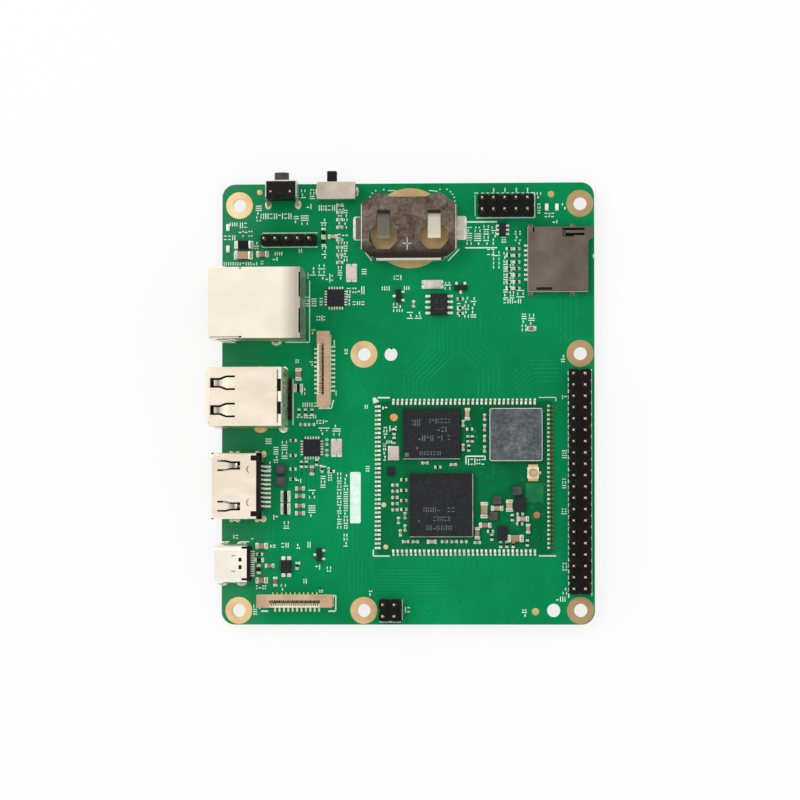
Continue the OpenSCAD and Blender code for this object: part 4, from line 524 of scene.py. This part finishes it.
# the card slider's coil spring shortens towards its fixed end as the slider goes in; here it gets a rounded copy with
# a mesh of its own and is not made to move
springSet = {"fixedEnd": 27.85, "travel": 1.4, "round": 0.02}
springCoil = roundEdges("card_spring", springSet["round"])
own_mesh(springCoil)
print("stage 3: edges rounded on", len(edgeSet), "solids")


# Solder at every pin and leg

solderSet = {"pad": 0.42, "padHeight": 0.035, "padRim": 0.16, "inset": 0.08, "depth": 1.0, "topDepth": 0.35,
             "gather": 1.3, "tailBelow": -0.75}
coneSteps = [(0.06, 0.97), (0.22, 0.78), (0.5, 0.6), (0.85, 0.5), (1.0, 0.42)]   # height, radius
tailNodes = ("network_pins network_shield usb_shell usb_contacts video_shell power_shell reset_bracket "
             "reset_terminals slide_cover slide_terminals long_header_pins short_header_pins").split()


def tailSpots(nodeName):
    # centre and half size of each tail that passes through the board
    low, near = solderSet["tailBelow"], solderSet["gather"]
    groups = []   # first point, then least and most of x and y
    for point in [vertex.co / mm for vertex in nodes[nodeName].data.vertices if vertex.co.z < low * mm]:
        homes = [g for g in groups if abs(point.x - g[0]) < near and abs(point.y - g[1]) < near]
        if homes:
            home = homes[0]
            home[2], home[3] = min(home[2], point.x), max(home[3], point.x)
            home[4], home[5] = min(home[4], point.y), max(home[5], point.y)
        else:
            groups.append([point.x, point.y, point.x, point.x, point.y, point.y])
    return [((g[2] + g[3]) / 2, (g[4] + g[5]) / 2, (g[3] - g[2]) / 2, (g[5] - g[4]) / 2) for g in groups]


def discStack(steps, sides=20):
    # a round of one millimetre radius drawn up through steps of height and radius
    nothingSelected()
    bpy.ops.mesh.primitive_circle_add(vertices=sides, radius=1.0 * mm, fill_type="NGON", location=(0, 0, 0))
    piece = openShape()
    height, radius = 0.0, 1.0
    for nextHeight, nextRadius in steps:
        extrudeUp(nextHeight - height)
        bpy.ops.transform.resize(value=(nextRadius / radius, nextRadius / radius, 1))
        height, radius = nextHeight, nextRadius
    return closeShape(piece)


def solderJoints():
    values = solderSet
    spots = [spot for name in tailNodes for spot in tailSpots(name)]
    under, over, pads = [], [], []
    for x, y, hx, hy in spots:
        wide, tall = hx + values["pad"], hy + values["pad"]
        inset, rim = values["inset"], values["padRim"]
        under.append((x, y, 0, 0, wide, tall, values["depth"], True))
        over.append((x, y, boardTop, 0, wide - inset, tall - inset, values["topDepth"]))
        pads.append((x, y, boardTop, 0, wide + rim, tall + rim, values["padHeight"]))
        pads.append((x, y, 0, 0, wide + rim, tall + rim, values["padHeight"], True))
    spread(discStack(coneSteps), under, "solderUnder", "brightSolder", 40)
    spread(discStack(coneSteps), over, "solderOver", "brightSolder", 40)
    spread(discStack([(0.7, 1.0), (1.0, 0.97)]), pads, "tinnedPads", "padTin", 40)
    return len(spots)


tailCount = solderJoints()


# Solder lands and fillets of the parts that sit on the boards' faces

landSet = {
    "thick": 0.03, "reach": 0.26, "wideFrom": 0.5, "wideReach": 1.3, "side": 0.09, "over": 0.06,
    "level": 0.02, "touch": 0.03, "fillet": (0.85, 0.94, 0.72),
    "leadTop": 1.75, "leadNear": 0.05, "leadRim": 0.16, "leadOut": 0.14, "leadLess": 0.2, "fineLead": 0.25,
    "packageGap": 0.3, "cardLand": (0.4, 0.95, 0.14), "rearLand": (0.35, 0.8), "videoRear": -31.9, "powerRear": -35.6,
    "ribbonFoot": 0.3, "ribbonLand": (0.85, 0.42), "sideHome": (-19.2, 8.5), "endHome": (-25.7, -43.9),
    "crystals": ((-13.1, 30.5, 2.5, 3.2), (-16.5, -9.2, 2.5, 3.2), (5.3, 27.8, 4, 2)),
    "crystalLand": (1.1, 0.02, 0.1, 0.14),   # length, shift, sink, less width
    "clipFeet": ((-11.55, 40.6), (11.85, 40.6)), "clipLand": (2.4, 5.4, 0.05),
}
plateSet = {"corner": 0.14, "wall": 0.7, "rim": 0.3, "inset": 0.9}
wedgeSet = {"foot": 0.06, "rise": 0.94, "curve": 1.8, "bulge": 0.35}


def looseBoxes(nodeName):
    # bounding box, in mm, of each separate lump of a solid
    shape = bmesh.new()
    shape.from_mesh(nodes[nodeName].data)
    bmesh.ops.remove_doubles(shape, verts=shape.verts, dist=roundSet["merge"] * mm)
    left = set(shape.verts)
    boxes = []
    while left:
        found = [left.pop()]
        for vertex in found:   # the list grows as neighbours are found
            for edge in vertex.link_edges:
                other = edge.other_vert(vertex)
                if other in left:
                    left.remove(other)
                    found.append(other)
        points = [vertex.co / mm for vertex in found]
        boxes.append([most(p[i] for p in points) for most in (min, max) for i in range(3)])
    shape.free()
    return boxes


def inPlan(box):
    # centre and half size seen from above
    return (box[0] + box[3]) / 2, (box[1] + box[4]) / 2, (box[3] - box[0]) / 2, (box[4] - box[1]) / 2


def landPlate():
    # thin plate with bevelled corners and a softened rim, one millimetre square
    values = plateSet
    plate = openPlane()
    bpy.ops.mesh.bevel(offset=values["corner"] * mm, segments=2, affect="VERTICES")
    bpy.ops.mesh.select_all(action="SELECT")
    extrudeUp(values["wall"])
    extrudeUp(values["rim"])
    bpy.ops.transform.resize(value=(values["inset"], values["inset"], 1))
    return closeShape(plate)


def wedgeFillet():
    # wedge of solder, one millimetre square: tall at -X, over a part's end, thin and hollow at +X
    values = wedgeSet
    wedge = openPlane()
    bpy.ops.mesh.subdivide(number_cuts=3)
    bpy.ops.mesh.select_all(action="SELECT")
    extrudeUp(1.0)
    shape = bmesh.from_edit_mesh(wedge.data)
    for vertex in shape.verts:
        if vertex.co.z > 0.5 * mm:
            bulge = 1.0 - values["bulge"] * (2 * abs(vertex.co.y) / mm) ** 2
            slope = (1.0 - vertex.co.x / mm) ** values["curve"]
            vertex.co.z = (values["foot"] + values["rise"] * slope * bulge) * mm
    bmesh.update_edit_mesh(wedge.data)
    return closeShape(wedge)


def endSolder(values, lands, fillets):
    # a land and a fillet at each metal end that touches the body of a capacitor or resistor
    bodies = looseBoxes("capacitors") + looseBoxes("resistors")
    level, touch, (deep, broad, high) = values["level"], values["touch"], values["fillet"]
    for end in looseBoxes("part_ends"):
        x, y, hx, hy = inPlan(end)
        for body in bodies:
            bx, by, gx, gy = inPlan(body)
            dx, dy = x - bx, y - by
            alongX = abs(dy) < level and abs(abs(dx) - hx - gx) < touch
            alongY = abs(dx) < level and abs(abs(dy) - hy - gy) < touch
            if abs(body[2] - end[2]) > level or not (alongX or alongY):
                continue
            sideX, sideY = (math.copysign(1, dx), 0) if alongX else (0, math.copysign(1, dy))
            half, out = (hy, hx) if alongX else (hx, hy)
            reach = values["reach"] * (values["wideReach"] if half > values["wideFrom"] else 1.0)
            turn = math.atan2(sideY, sideX)
            lands.append((x + sideX * reach / 2, y + sideY * reach / 2, end[2], turn,
                          2 * out + reach + values["over"], 2 * half + 2 * values["side"], values["thick"]))
            fillets.append((x + sideX * out, y + sideY * out, end[2] + values["thick"], turn, reach * deep,
                            2 * half * broad, (end[5] - end[2]) * high))
            break


def leadLands(values, lands):
    rim, out, thick = values["leadRim"], values["leadOut"], values["thick"]
    inward, length, wider = values["cardLand"]
    back, rearLength = values["rearLand"]
    rears = {"video_contacts": values["videoRear"], "power_contacts": values["powerRear"]}
    packages = looseBoxes("chip_bodies")
    for nodeName in ("chip_leads", "video_contacts", "power_contacts", "card_contacts"):
        for box in looseBoxes(nodeName):
            x, y, hx, hy = inPlan(box)
            if box[2] > values["leadTop"] and abs(box[2] - moduleTop) > values["leadNear"]:
                continue
            if nodeName == "chip_leads":
                wide, tall = 2 * hx + rim, 2 * hy + rim
                for package in packages:
                    px, py, gx, gy = inPlan(package)
                    dx, dy = x - px, y - py
                    gap = max(abs(dx) - gx, abs(dy) - gy)
                    if gap >= values["packageGap"] or max(hx, hy) >= values["fineLead"]:
                        continue
                    # a flat chip's pad reaches out past its edge
                    if abs(dx) > abs(dy):
                        x, wide, tall = x + math.copysign(out, dx), wide + rim, tall - values["leadLess"]
                    else:
                        y, tall, wide = y + math.copysign(out, dy), tall + rim, wide - values["leadLess"]
                lands.append((x, y, round(box[2], 2), 0, wide, tall, thick))
            elif nodeName == "card_contacts":
                lands.append((box[0] + inward, y, boardTop, 0, length, 2 * hy + wider, thick))
            elif box[3] > rears[nodeName]:
                lands.append((box[3] - back, y, boardTop, 0, rearLength, 2 * hy, thick))


def footLands(values, lands):
    # at the cable sockets' contacts, the large crystals and the cell clip's feet
    long, short = values["ribbonLand"]
    for box in looseBoxes("ribbon_contacts"):
        x, y, hx, hy = inPlan(box)
        if min(hx, hy) * 2 >= values["ribbonFoot"]:
            continue
        atEnd = box[4] < -10
        homeX, homeY = values["endHome"] if atEnd else values["sideHome"]
        if hx > hy:
            outer = max(box[3], box[0], key=lambda edge: abs(edge - homeX))
            lands.append((outer, y, boardTop, 0, long, short, values["thick"]))
        elif not (atEnd and box[4] > homeY):   # the lock's side of the end socket shows no lands
            outer = max(box[4], box[1], key=lambda edge: abs(edge - homeY))
            lands.append((x, outer, boardTop, 0, short, long, values["thick"]))
    land, shift, sink, less = values["crystalLand"]
    for x, y, sx, sy in values["crystals"]:
        for i in (-1, 1):
            for j in (-1, 1):
                if sy > sx:
                    place = (x + i * (sx / 4 + shift), y + j * (sy / 2 - sink), boardTop, 0, sx / 2 - less, land)
                else:
                    place = (x + i * (sx / 2 - sink), y + j * (sy / 4 + shift), boardTop, 0, land, sy / 2 - less)
                lands.append(place + (values["thick"],))
    for x, y in values["clipFeet"]:
        lands.append((x, y, boardTop, 0) + values["clipLand"])


def partSolder():
    lands, fillets = [], []
    endSolder(landSet, lands, fillets)
    leadLands(landSet, lands)
    footLands(landSet, lands)
    spread(landPlate(), lands, "solderLands", "landTin", 40)
    spread(wedgeFillet(), fillets, "endFillets", "castSolder", 50)
    return len(lands), len(fillets)


print("stage 4: solder at", tailCount, "tails, lands and fillets:", partSolder())


# White ink on both boards

inkSet = {"thick": 0.02, "shortest": 0.2, "pixels": 4.4, "seed": 7, "clear": 3.3, "dot": 0.7, "dotWidth": 1.3,
          "cornerMark": (376, 402), "markSize": 0.9, "markTurn": 15, "label": (355.8, 499), "labelSize": (2.4, 11.6),
          "labelRound": 0.35}
# generic marks: step to the next, then centre along and across, length, height; None for across is drawn by
# chance, and for height it is the field's own
printMarks = {"bar": (0.5, [(0.12, 0.5, 0.2, None)]), "stub": (0.85, [(0.28, None, 0.55, 0.26)]),
              "pair": (0.95, [(0.32, 0.16, 0.62, 0.2), (0.32, 0.84, 0.62, 0.2)]),
              "dots": (0.55, [(0.14, 0.25, 0.3, 0.3), (0.14, 0.75, 0.3, 0.3)])}
printSet = {"kinds": ["bar", "pair", "dots", "stub", "bar"], "stubAcross": [0.35, 0.65], "end": 0.25, "past": 0.1}
ringSpots = [(-38.7, -46), (-38.7, 46), (38.7, -46), (38.7, 46), (-10.3, -46), (-10.3, 12), (38.7, 12)]
# dashed lines beside the long header and at the top edge: x0, y0, x1, y1, width in pixels
dashLines = [(567.4, y, 567.4, y + 4, 1.1) for y in range(373, 596, 6)]
dashLines += [(x, 194, x + 3, 194, 0.8) for x in range(481, 529, 5)]
# outlines and ticks, as measured: x0, y0, x1, y1, width in pixels
inkLines = [
    (263, 233, 318, 233, 0.8), (263, 247.3, 318, 247.3, 0.8), (224, 343, 236, 343, 1), (286, 343, 310, 343, 1),
    (310, 281, 310, 343, 1), (293.6, 380, 293.6, 426, 0.9), (224, 543, 230, 543, 1.1), (242, 543, 250, 543, 1.1),
    (252, 540, 254, 540, 1), (319, 409.4, 332, 409.4, 1.2), (334, 401, 332, 409, 1.2), (334.6, 341, 334.6, 346, 1),
    (262, 612.4, 269, 612.4, 1.4), (329, 612.4, 336, 612.4, 1.4), (336.3, 597, 336.3, 612, 1.3),
    (325, 596, 336, 597, 1.2), (262, 598, 270, 596.5, 1.2), (260.5, 600, 260.5, 610, 1.2), (474, 194, 478, 194, 0.9),
    (534.3, 194, 534.3, 219, 1), (476, 219, 534, 219, 0.9), (530, 194, 534, 194, 0.9),
    (493.5, 189, 493.5, 193.4, 1.1), (504.8, 189, 504.8, 193.4, 1.1), (516, 189, 516, 193.4, 1.1),
    (527.2, 189, 527.2, 193.4, 1.1), (388, 191, 396, 191, 0.9), (429, 191, 438, 192, 0.9),
    (363.5, 250, 372, 261.5, 1), (459.5, 250, 448, 262, 1), (465, 223, 497, 223, 1.5), (465, 249, 497, 249, 1.2),
    (378, 399, 390, 399, 1.5), (373.6, 399, 373.6, 402, 1.2), (373.6, 551, 373.6, 557.5, 1.1),
    (373.6, 557.4, 390, 557.4, 1.2), (538, 399.2, 555, 399.2, 0.8), (555, 399, 555, 403, 0.8),
    (538, 557.4, 555, 557.4, 1.3), (590.2, 371, 590.2, 597, 0.9), (380, 623, 401, 623, 1.2),
    (402.5, 601, 402.5, 621, 0.6), (235, 242, 253, 242, 1), (235, 250.8, 238, 250.8, 1), (475, 196, 475, 217, 0.7),
    (262.4, 234, 262.4, 247, 0.7), (592.4, 256, 592.4, 260, 1),
]
inkDots = [
    (384, 190), (376, 191), (372.5, 193.5), (370.5, 197), (369.3, 200), (440, 190), (447, 190), (450.5, 192.5),
    (452.5, 195), (454.3, 198), (455, 202),
]
# fields of generic marks: x, y, width and height in pixels
inkFields = [
    (256, 203, 6, 18), (261, 213, 31, 6), (294, 214, 5, 9), (301, 214, 8, 11), (301, 187, 5, 11), (310, 189, 5, 10),
    (307, 204, 7, 5), (319, 205, 25, 6), (230, 222, 8, 4), (240, 222, 8, 6), (239, 229, 16, 9), (224, 235, 13, 5),
    (254, 239, 5, 10), (275, 252, 9, 3.5), (273, 257, 7, 4), (261, 261, 6, 3.5), (224, 262, 34, 3.5),
    (321, 219, 6, 7), (322, 246, 5, 13), (338, 208, 4.5, 21), (344, 208, 4, 21), (338, 234, 10, 5),
    (338, 242, 4.5, 21), (344, 242, 4, 20), (338, 265, 4.5, 15), (299, 249, 5, 4), (310, 265, 6, 11),
    (318.5, 265, 7, 15), (326, 274, 9, 9), (303.5, 273, 6, 6), (306, 297, 3, 10), (312, 297, 5, 10),
    (320, 296, 3, 10), (317, 316, 10, 6), (311.5, 329, 4.5, 6), (347, 288, 4, 18), (353, 287, 14, 8),
    (353, 302, 14, 4), (362, 268, 5, 7), (382, 287, 10, 4.5), (345, 349, 3, 6), (394, 276, 9, 5), (404, 287, 6, 4),
    (393, 303, 5, 10), (399, 303, 4, 10), (407, 311, 6, 9), (415, 312, 7, 8), (444, 283, 7, 8), (457, 303, 3.5, 15),
    (464, 298, 5, 21), (470.5, 296, 5.5, 23), (492, 251, 8, 19), (503, 252, 4.5, 48), (509, 262, 5, 38),
    (516, 290, 8, 9), (503, 300.5, 21, 4.5), (521, 315, 5, 18), (528, 315, 6, 18), (466, 226, 6, 20),
    (474, 226, 7, 20), (483, 226, 6, 20), (491, 226, 6, 20), (536, 191, 5, 9), (537, 203, 3, 12), (544, 214, 9, 5),
    (552, 221.5, 6, 3.5), (561, 202, 5, 9), (487, 249.5, 7, 7.5, "x"), (513, 231, 9, 15), (501, 238, 5, 6),
    (560, 357, 4, 7), (561, 397, 5, 4), (561, 452, 5, 8), (561, 480, 4, 10), (560, 508, 6, 8), (561, 564, 5, 8),
    (561, 587, 5, 9), (555, 598, 11, 5), (521, 609, 5, 9), (405, 608, 5, 6, "x"), (369, 590, 4, 7), (365, 406, 5, 4),
    (366, 467, 4, 6), (337.5, 474, 4.5, 56), (344, 474, 4.5, 56), (344, 533, 4, 15), (327, 565, 5, 8),
    (316, 566, 5, 5), (282, 544, 8, 5), (297, 544, 4, 6), (308, 543, 4, 6, "x"), (296, 563, 5, 3), (296, 568, 5, 3),
    (304, 580, 5, 5), (281, 583, 6, 9), (257, 586, 11, 5), (254, 606, 4, 10), (320, 591, 6, 3), (271, 546, 6, 3),
    (296, 360, 6, 4), (310, 361, 4, 6), (301.5, 388, 4.5, 8), (303, 403.5, 14, 4.5), (297, 416, 21, 3.5),
    (317, 421, 13, 4), (319, 427, 11, 9, "y"), (333, 424, 8, 13), (266, 438, 6, 7), (282, 440, 6, 20),
    (274, 447, 5, 17), (309, 489, 7, 11), (309, 506, 7, 12), (274, 516, 6, 5), (284, 520, 6, 10), (320, 466, 13, 5),
    (321, 474, 5, 15), (328, 473, 5, 9), (336, 392, 4, 5, "x"), (268, 463, 4, 8), (234, 536, 6, 4), (297, 480, 6, 4),
]
moduleFields = [
    (383, 408, 5, 3), (384, 427, 4, 13), (390, 427, 10, 6), (384, 444, 2.5, 18), (468, 460, 16, 7), (387, 442, 8, 3),
]
moduleLines = [
    (466, 458, 485, 458, 1.2), (466, 458, 466, 466, 1.1), (485, 458, 485, 462, 1.1),
]


def unitStroke():
    stroke = openPlane()
    extrudeUp(1.0)
    return closeShape(stroke)


def stroke(start, end, z, width, thick, over=0.0):
    # a bar from one point to another, both in mm
    dx, dy = end[0] - start[0], end[1] - start[1]
    length = max(math.hypot(dx, dy) + over, inkSet["shortest"])
    return ((start[0] + end[0]) / 2, (start[1] + end[1]) / 2, z, math.atan2(dy, dx), length, width, thick)


def inkLine(x0, y0, x1, y1, pixels, z=boardTop):
    return stroke(fromPhoto(x0, y0), fromPhoto(x1, y1), z, pixels / inkSet["pixels"], inkSet["thick"])


def fieldStrokes(field, z, rng, thick=inkSet["thick"]):
    # plain bars, dashes and dots in a row along the field's longer side or the axis it names
    x, y, wide, high, *named = field
    ax, ay = fromPhoto(x, y + high)
    bx, by = fromPhoto(x + wide, y)
    along = named[0] if named else "x" if wide >= high else "y"
    length, height = (bx - ax, by - ay) if along == "x" else (by - ay, bx - ax)
    out = []
    at = 0.0
    while at < length - printSet["end"]:
        step, parts = printMarks[rng.choice(printSet["kinds"])]
        for ahead, across, su, sv in parts:
            u, v, sv = at + ahead, height * (across or rng.choice(printSet["stubAcross"])), sv or height
            if u + su / 2 <= length + printSet["past"]:
                if along == "y":
                    u, v, su, sv = v, u, sv, su
                out.append((ax + u, ay + v, z, 0, su, sv, thick))
        at += step
    return out


def clearOfHoles(place):
    return all(math.hypot(place[0] - x, place[1] - y) >= inkSet["clear"] for x, y in ringSpots)


def printInk():
    rng = random.Random(inkSet["seed"])
    half, width = inkSet["dot"], inkSet["dotWidth"]
    strokes = [inkLine(*line) for line in inkLines + dashLines]
    strokes += [inkLine(x - half, y, x + half, y, width) for x, y in inkDots]
    for field in inkFields:
        strokes += [place for place in fieldStrokes(field, boardTop, rng) if clearOfHoles(place)]
    spread(unitStroke(), strokes, "boardInk", "whiteInk")
    strokes = [inkLine(*line, moduleTop) for line in moduleLines]
    for field in moduleFields:
        strokes += fieldStrokes(field, moduleTop, rng)
    spread(unitStroke(), strokes, "moduleInk", "whiteInk")


def cornerInk():
    # filled corner mark by the module's first contact, and the blank field for a label
    values = inkSet
    size, turn = values["markSize"], math.radians(values["markTurn"])
    mark = fromPhoto(*values["cornerMark"]) + (boardTop, turn, size, size, values["thick"])
    spread(discStack([(1.0, 1.0)], 3), [mark], "cornerMark", "whiteInk")
    label = openPlane()
    bpy.ops.transform.resize(value=values["labelSize"] + (1,))
    bpy.ops.mesh.bevel(offset=values["labelRound"] * mm, segments=4, affect="VERTICES")
    bpy.ops.mesh.select_all(action="SELECT")
    extrudeUp(values["thick"])
    place = fromPhoto(*values["label"]) + (boardTop, 0, 1, 1, 1)
    spread(closeShape(label), [place], "labelField", "whiteInk")


printInk()
cornerInk()
print("stage 5: ink printed")


# Bare gold marks and test pads: photo pixels and radius in mm

markThick = 0.03
goldMarks = [
    ("boardMarks", boardTop, "padGold", [(260, 192, 0.62), (550.5, 195.5, 0.72), (534.5, 613, 0.82)]),
    ("moduleMarks", moduleTop, "copperGold", [(394.5, 419, 0.85)]),
    ("moduleTestPads", moduleTop, "padTin", [(384.5, 506.5, 0.55), (386.5, 548.5, 0.55)]),
]
for name, z, look, marks in goldMarks:
    places = [fromPhoto(px, py) + (z, 0, r, r, markThick) for px, py, r in marks]
    spread(discStack([(0.6, 1.0), (1.0, 0.94)]), places, name, look, 40)
print("stage 6: gold marks placed")


# Copper under the lacquer, vias, and plain marks on chips and the clip

traceSet = {"thick": 0.012, "width": 0.192, "over": 0.6, "clear": 3.4}
# courses of faint copper, in photo pixels, each a bundle of parallel lines: count, step x, step y
courses = [
    ([(372, 572), (492, 572), (510, 590)], 9, -1.0, 3.2),
    ([(300, 440), (300, 500), (330, 530), (330, 560)], 7, 4.6, -1.0),
    ([(345, 372), (372, 399)], 8, 0.5, 4.4),
    ([(518, 399), (534, 383), (562, 383)], 6, -1.6, -4.2),
    ([(430, 318), (430, 350), (404, 376), (404, 399)], 6, 4.4, 1.6),
    ([(460, 320), (460, 352), (478, 370), (478, 399)], 5, 5.0, -2.0),
    ([(226, 526), (274, 526)], 2, 0.0, 17.0),
    ([(249, 526), (249, 543)], 2, 25.0, 0.0),
    ([(284, 346), (284, 366)], 4, 8.0, 0.0),
    ([(560, 300), (560, 345), (574, 359)], 4, 5.0, -2.0),
    ([(350, 560), (350, 600), (362, 612)], 6, 4.2, -1.4),
    ([(430, 556), (430, 572)], 10, 6.2, 0.0),
]
viaSet = {"count": 150, "radius": 0.17, "sizes": [0.9, 1.0, 1.25], "ring": 1.7, "ringThick": 0.016, "hole": 0.85,
          "holeUp": 0.012, "holeThick": 0.008, "seed": 11}
# x, y, width and height in photo pixels
viaZones = [(296, 436, 49, 84), (345, 520, 55, 40), (270, 545, 60, 45), (400, 262, 70, 78), (470, 255, 90, 90),
            (345, 265, 55, 135), (310, 345, 8, 55), (372, 560, 148, 44), (300, 286, 45, 44), (420, 600, 100, 22)]
moduleZones = [(384, 408, 18, 137), (461, 408, 27, 52), (478, 466, 67, 79), (404, 463, 66, 8), (410, 542, 60, 6)]


def holeGap(start, end, hole):
    # least distance between a line and the middle of a hole
    start, end, hole = Vector(start), Vector(end), Vector(hole)
    line = end - start
    share = max(0.0, min(1.0, (hole - start).dot(line) / line.length_squared))
    return (start + share * line - hole).length


def copperCourses():
    values = traceSet
    strokes = []
    for points, count, stepX, stepY in courses:
        for i in range(count):
            line = [fromPhoto(px + i * stepX, py + i * stepY) for px, py in points]
            for start, end in zip(line, line[1:]):
                if all(holeGap(start, end, hole) > values["clear"] for hole in ringSpots):
                    strokes.append(stroke(start, end, boardTop, values["width"], values["thick"],
                                          values["width"] * values["over"]))
    spread(unitStroke(), strokes, "copperCourses", "coveredCopper")


def thinDisc(rim):
    return discStack([(0.7, 1.0), (1.0, rim)])


def viaRings():
    values = viaSet
    rng = random.Random(values["seed"])
    holes = []
    for zones, height, count, name, look, slot in (
            (viaZones, boardTop, values["count"], "viaRings", "coveredCopper", "board_green"),
            (moduleZones, moduleTop, values["count"] // 2, "moduleViaRings", "moduleCopper", "module_green")):
        rings = []
        for i in range(count):
            px, py, wide, high = rng.choices(zones, [zone[2] * zone[3] for zone in zones])[0]
            x, y = fromPhoto(rng.uniform(px, px + wide), rng.uniform(py, py + high))
            size = values["radius"] * rng.choice(values["sizes"])
            ring, hole = size * values["ring"], size * values["hole"]
            rings.append((x, y, height, 0, ring, ring, values["ringThick"]))
            holes.append((x, y, height + values["holeUp"], 0, hole, hole, values["holeThick"]))
        spread(thinDisc(0.92), rings, name, look, 40)
    spread(thinDisc(0.9), holes, "viaPlugs", "deepGreen", 40)


memoryTop, processorTop, leadedTop, clipTop = 3.8, 4.1, 3.1, 6.2   # mm above the mounting plane
plainSet = {"thick": 0.012, "seed": 23, "bareField": (534, 494.5), "fieldSize": (4.0, 4.3), "dullMark": (536, 516.8),
            "dullSize": (0.75, 0.75, 0.03), "frontLegs": -32, "legUp": 0.04, "legRim": 0.95, "legThick": 0.02,
            "rivets": ((-31.0, 48.6), (-26.6, 48.6)), "rivetSize": (0.24, 0.24, 0.05), "rivetSink": 0.01,
            "sign": (408.8, 245.8), "signBars": ((0, 2.1, 0.26), (90, 2.9, 0.3)), "signThick": 0.02}
chipFields = {
    memoryTop: [(413, 421, 9, 7), (430, 420, 22, 5.5), (438, 428.5, 10, 5.5), (419, 437, 16, 6),
                (438, 437, 6, 6), (448, 437, 2.5, 5, "x"), (420.5, 453, 22.5, 4)],
    processorTop: [(424, 509, 19, 5), (448, 509, 9, 5), (434, 518, 17, 5), (427, 527, 26, 5)],
}
chipDots = [(418, 450, 0.22, memoryTop), (407.5, 456.5, 0.45, memoryTop), (419.5, 523, 0.18, processorTop)]
leadedFields = [(434, 301, 11, 4, "y"), (434, 307, 11, 4, "y")]
# painted highlights along the edges of the two large chips, in mm: middle, height, size
chipEdgeHighlights = [(5.2, -11.83, memoryTop, 12.9, 0.16), (14.53, -22.3, processorTop, 0.16, 14.3),
             (7.4, -29.43, processorTop, 14.3, 0.13)]


def chipPrint(values):
    rng = random.Random(values["seed"])
    thick = values["thick"]
    strokes = []
    for z, fields in chipFields.items():
        for field in fields:
            strokes += fieldStrokes(field, z, rng, thick)
    strokes += [fromPhoto(px, py) + (z, 0, 2 * r, 2 * r, thick) for px, py, r, z in chipDots]
    spread(unitStroke(), strokes, "chipMarks", "greyInk")
    strokes = []
    for field in leadedFields:
        strokes += fieldStrokes(field, leadedTop, rng, thick)
    spread(unitStroke(), strokes, "leadedChipMarks", "darkInk")


def plainMarks():
    values = plainSet
    thick = values["thick"]
    chipPrint(values)
    # bare field on the module, a dull mark by it, and the painted highlights on the chip edges
    bare = fromPhoto(*values["bareField"]) + (moduleTop, 0) + values["fieldSize"] + (thick,)
    spread(unitStroke(), [bare], "bareField", "bareLaminate")
    dull = fromPhoto(*values["dullMark"]) + (moduleTop, 0) + values["dullSize"]
    spread(thinDisc(0.95), [dull], "dullMark", "dullCopper", 40)
    edges = [(x, y, z, 0, sx, sy, thick) for x, y, z, sx, sy in chipEdgeHighlights]
    spread(unitStroke(), edges, "chipEdgeHighlights", "paintedChipEdgeLight")
    # gold rings at the front legs of the stacked sockets
    legs = [spot for spot in tailSpots("usb_shell") if spot[0] < values["frontLegs"]]
    rims = [(x, y, boardTop + values["legUp"], 0, hx + values["legRim"], hy + values["legRim"], values["legThick"])
            for x, y, hx, hy in legs]
    spread(thinDisc(0.96), rims, "legRims", "legGold", 40)
    # pale rivet heads on the reset button's case
    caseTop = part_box("reset_case")[1][2] / mm - values["rivetSink"]
    rivets = [(x, y, caseTop, 0) + values["rivetSize"] for x, y in values["rivets"]]
    spread(thinDisc(0.8), rivets, "caseRivets", "paleStamp", 40)
    # polarity sign pressed into the clip's plate
    middle = fromPhoto(*values["sign"]) + (clipTop,)
    sign = [middle + (math.radians(turn), long, wide, values["signThick"]) for turn, long, wide in values["signBars"]]
    spread(unitStroke(), sign, "polaritySign", "paleStamp")


copperCourses()
viaRings()
plainMarks()
print("stage 7: copper, vias and plain marks placed")


# Floor, world and lamps

studioSet = {"floorSize": 3.0, "floorDrop": 1.5, "floorTone": 0.9, "glow": 0.8, "world": 0.86}
lampSet = [("keyLamp", (-0.45, 0.35, 0.7), 0.5, 1.8), ("fillLamp", (0.5, -0.3, 0.6), 0.6, 0.5)]   # place, size, watts


def buildStudio():
    values = studioSet
    nothingSelected()
    bpy.ops.mesh.primitive_plane_add(size=values["floorSize"], location=(0, 0, 0))
    floor = bpy.context.active_object
    floor.name = "studioFloor"
    for vertex in floor.data.vertices:
        vertex.co.z = -values["floorDrop"] * mm
    material = newMaterial("studioWhite", white, 0.9, 0.0, 0.1)
    shader = shaderOf(material)
    shader.inputs["Base Color"].default_value = (values["floorTone"],) * 3 + (1,)
    glow = addNode(material, "Emission", {"Color": (1, 1, 1, 1), "Strength": 1.0})
    path = addNode(material, "LightPath", {}).outputs
    seen = addNode(material, "Math", {0: path["Is Camera Ray"], 1: path["Is Glossy Ray"]}, operation="MAXIMUM")
    part = addNode(material, "Math", {0: seen.outputs[0], 1: values["glow"]}, operation="MULTIPLY")
    mix = addNode(material, "MixShader", {0: part.outputs[0], 1: shader.outputs[0], 2: glow.outputs[0]})
    tree = material.node_tree
    tree.links.new(mix.outputs[0], tree.nodes["Material Output"].inputs["Surface"])
    floor.data.materials.append(material)

    world = bpy.data.worlds.new("studioWorld")
    bpy.context.scene.world = world
    world.use_nodes = True
    background = world.node_tree.nodes["Background"]
    background.inputs["Color"].default_value = (1, 1, 1, 1)
    background.inputs["Strength"].default_value = values["world"]

    for name, place, size, watts in lampSet:
        data = bpy.data.lights.new(name, "AREA")
        data.shape = "SQUARE"
        data.size = size
        data.energy = watts
        lamp = bpy.data.objects.new(name, data)
        link(lamp)
        lamp.location = place
        lamp.rotation_euler = (-Vector(place)).to_track_quat("-Z", "Y").to_euler()


buildStudio()
print("stage 8: studio built")
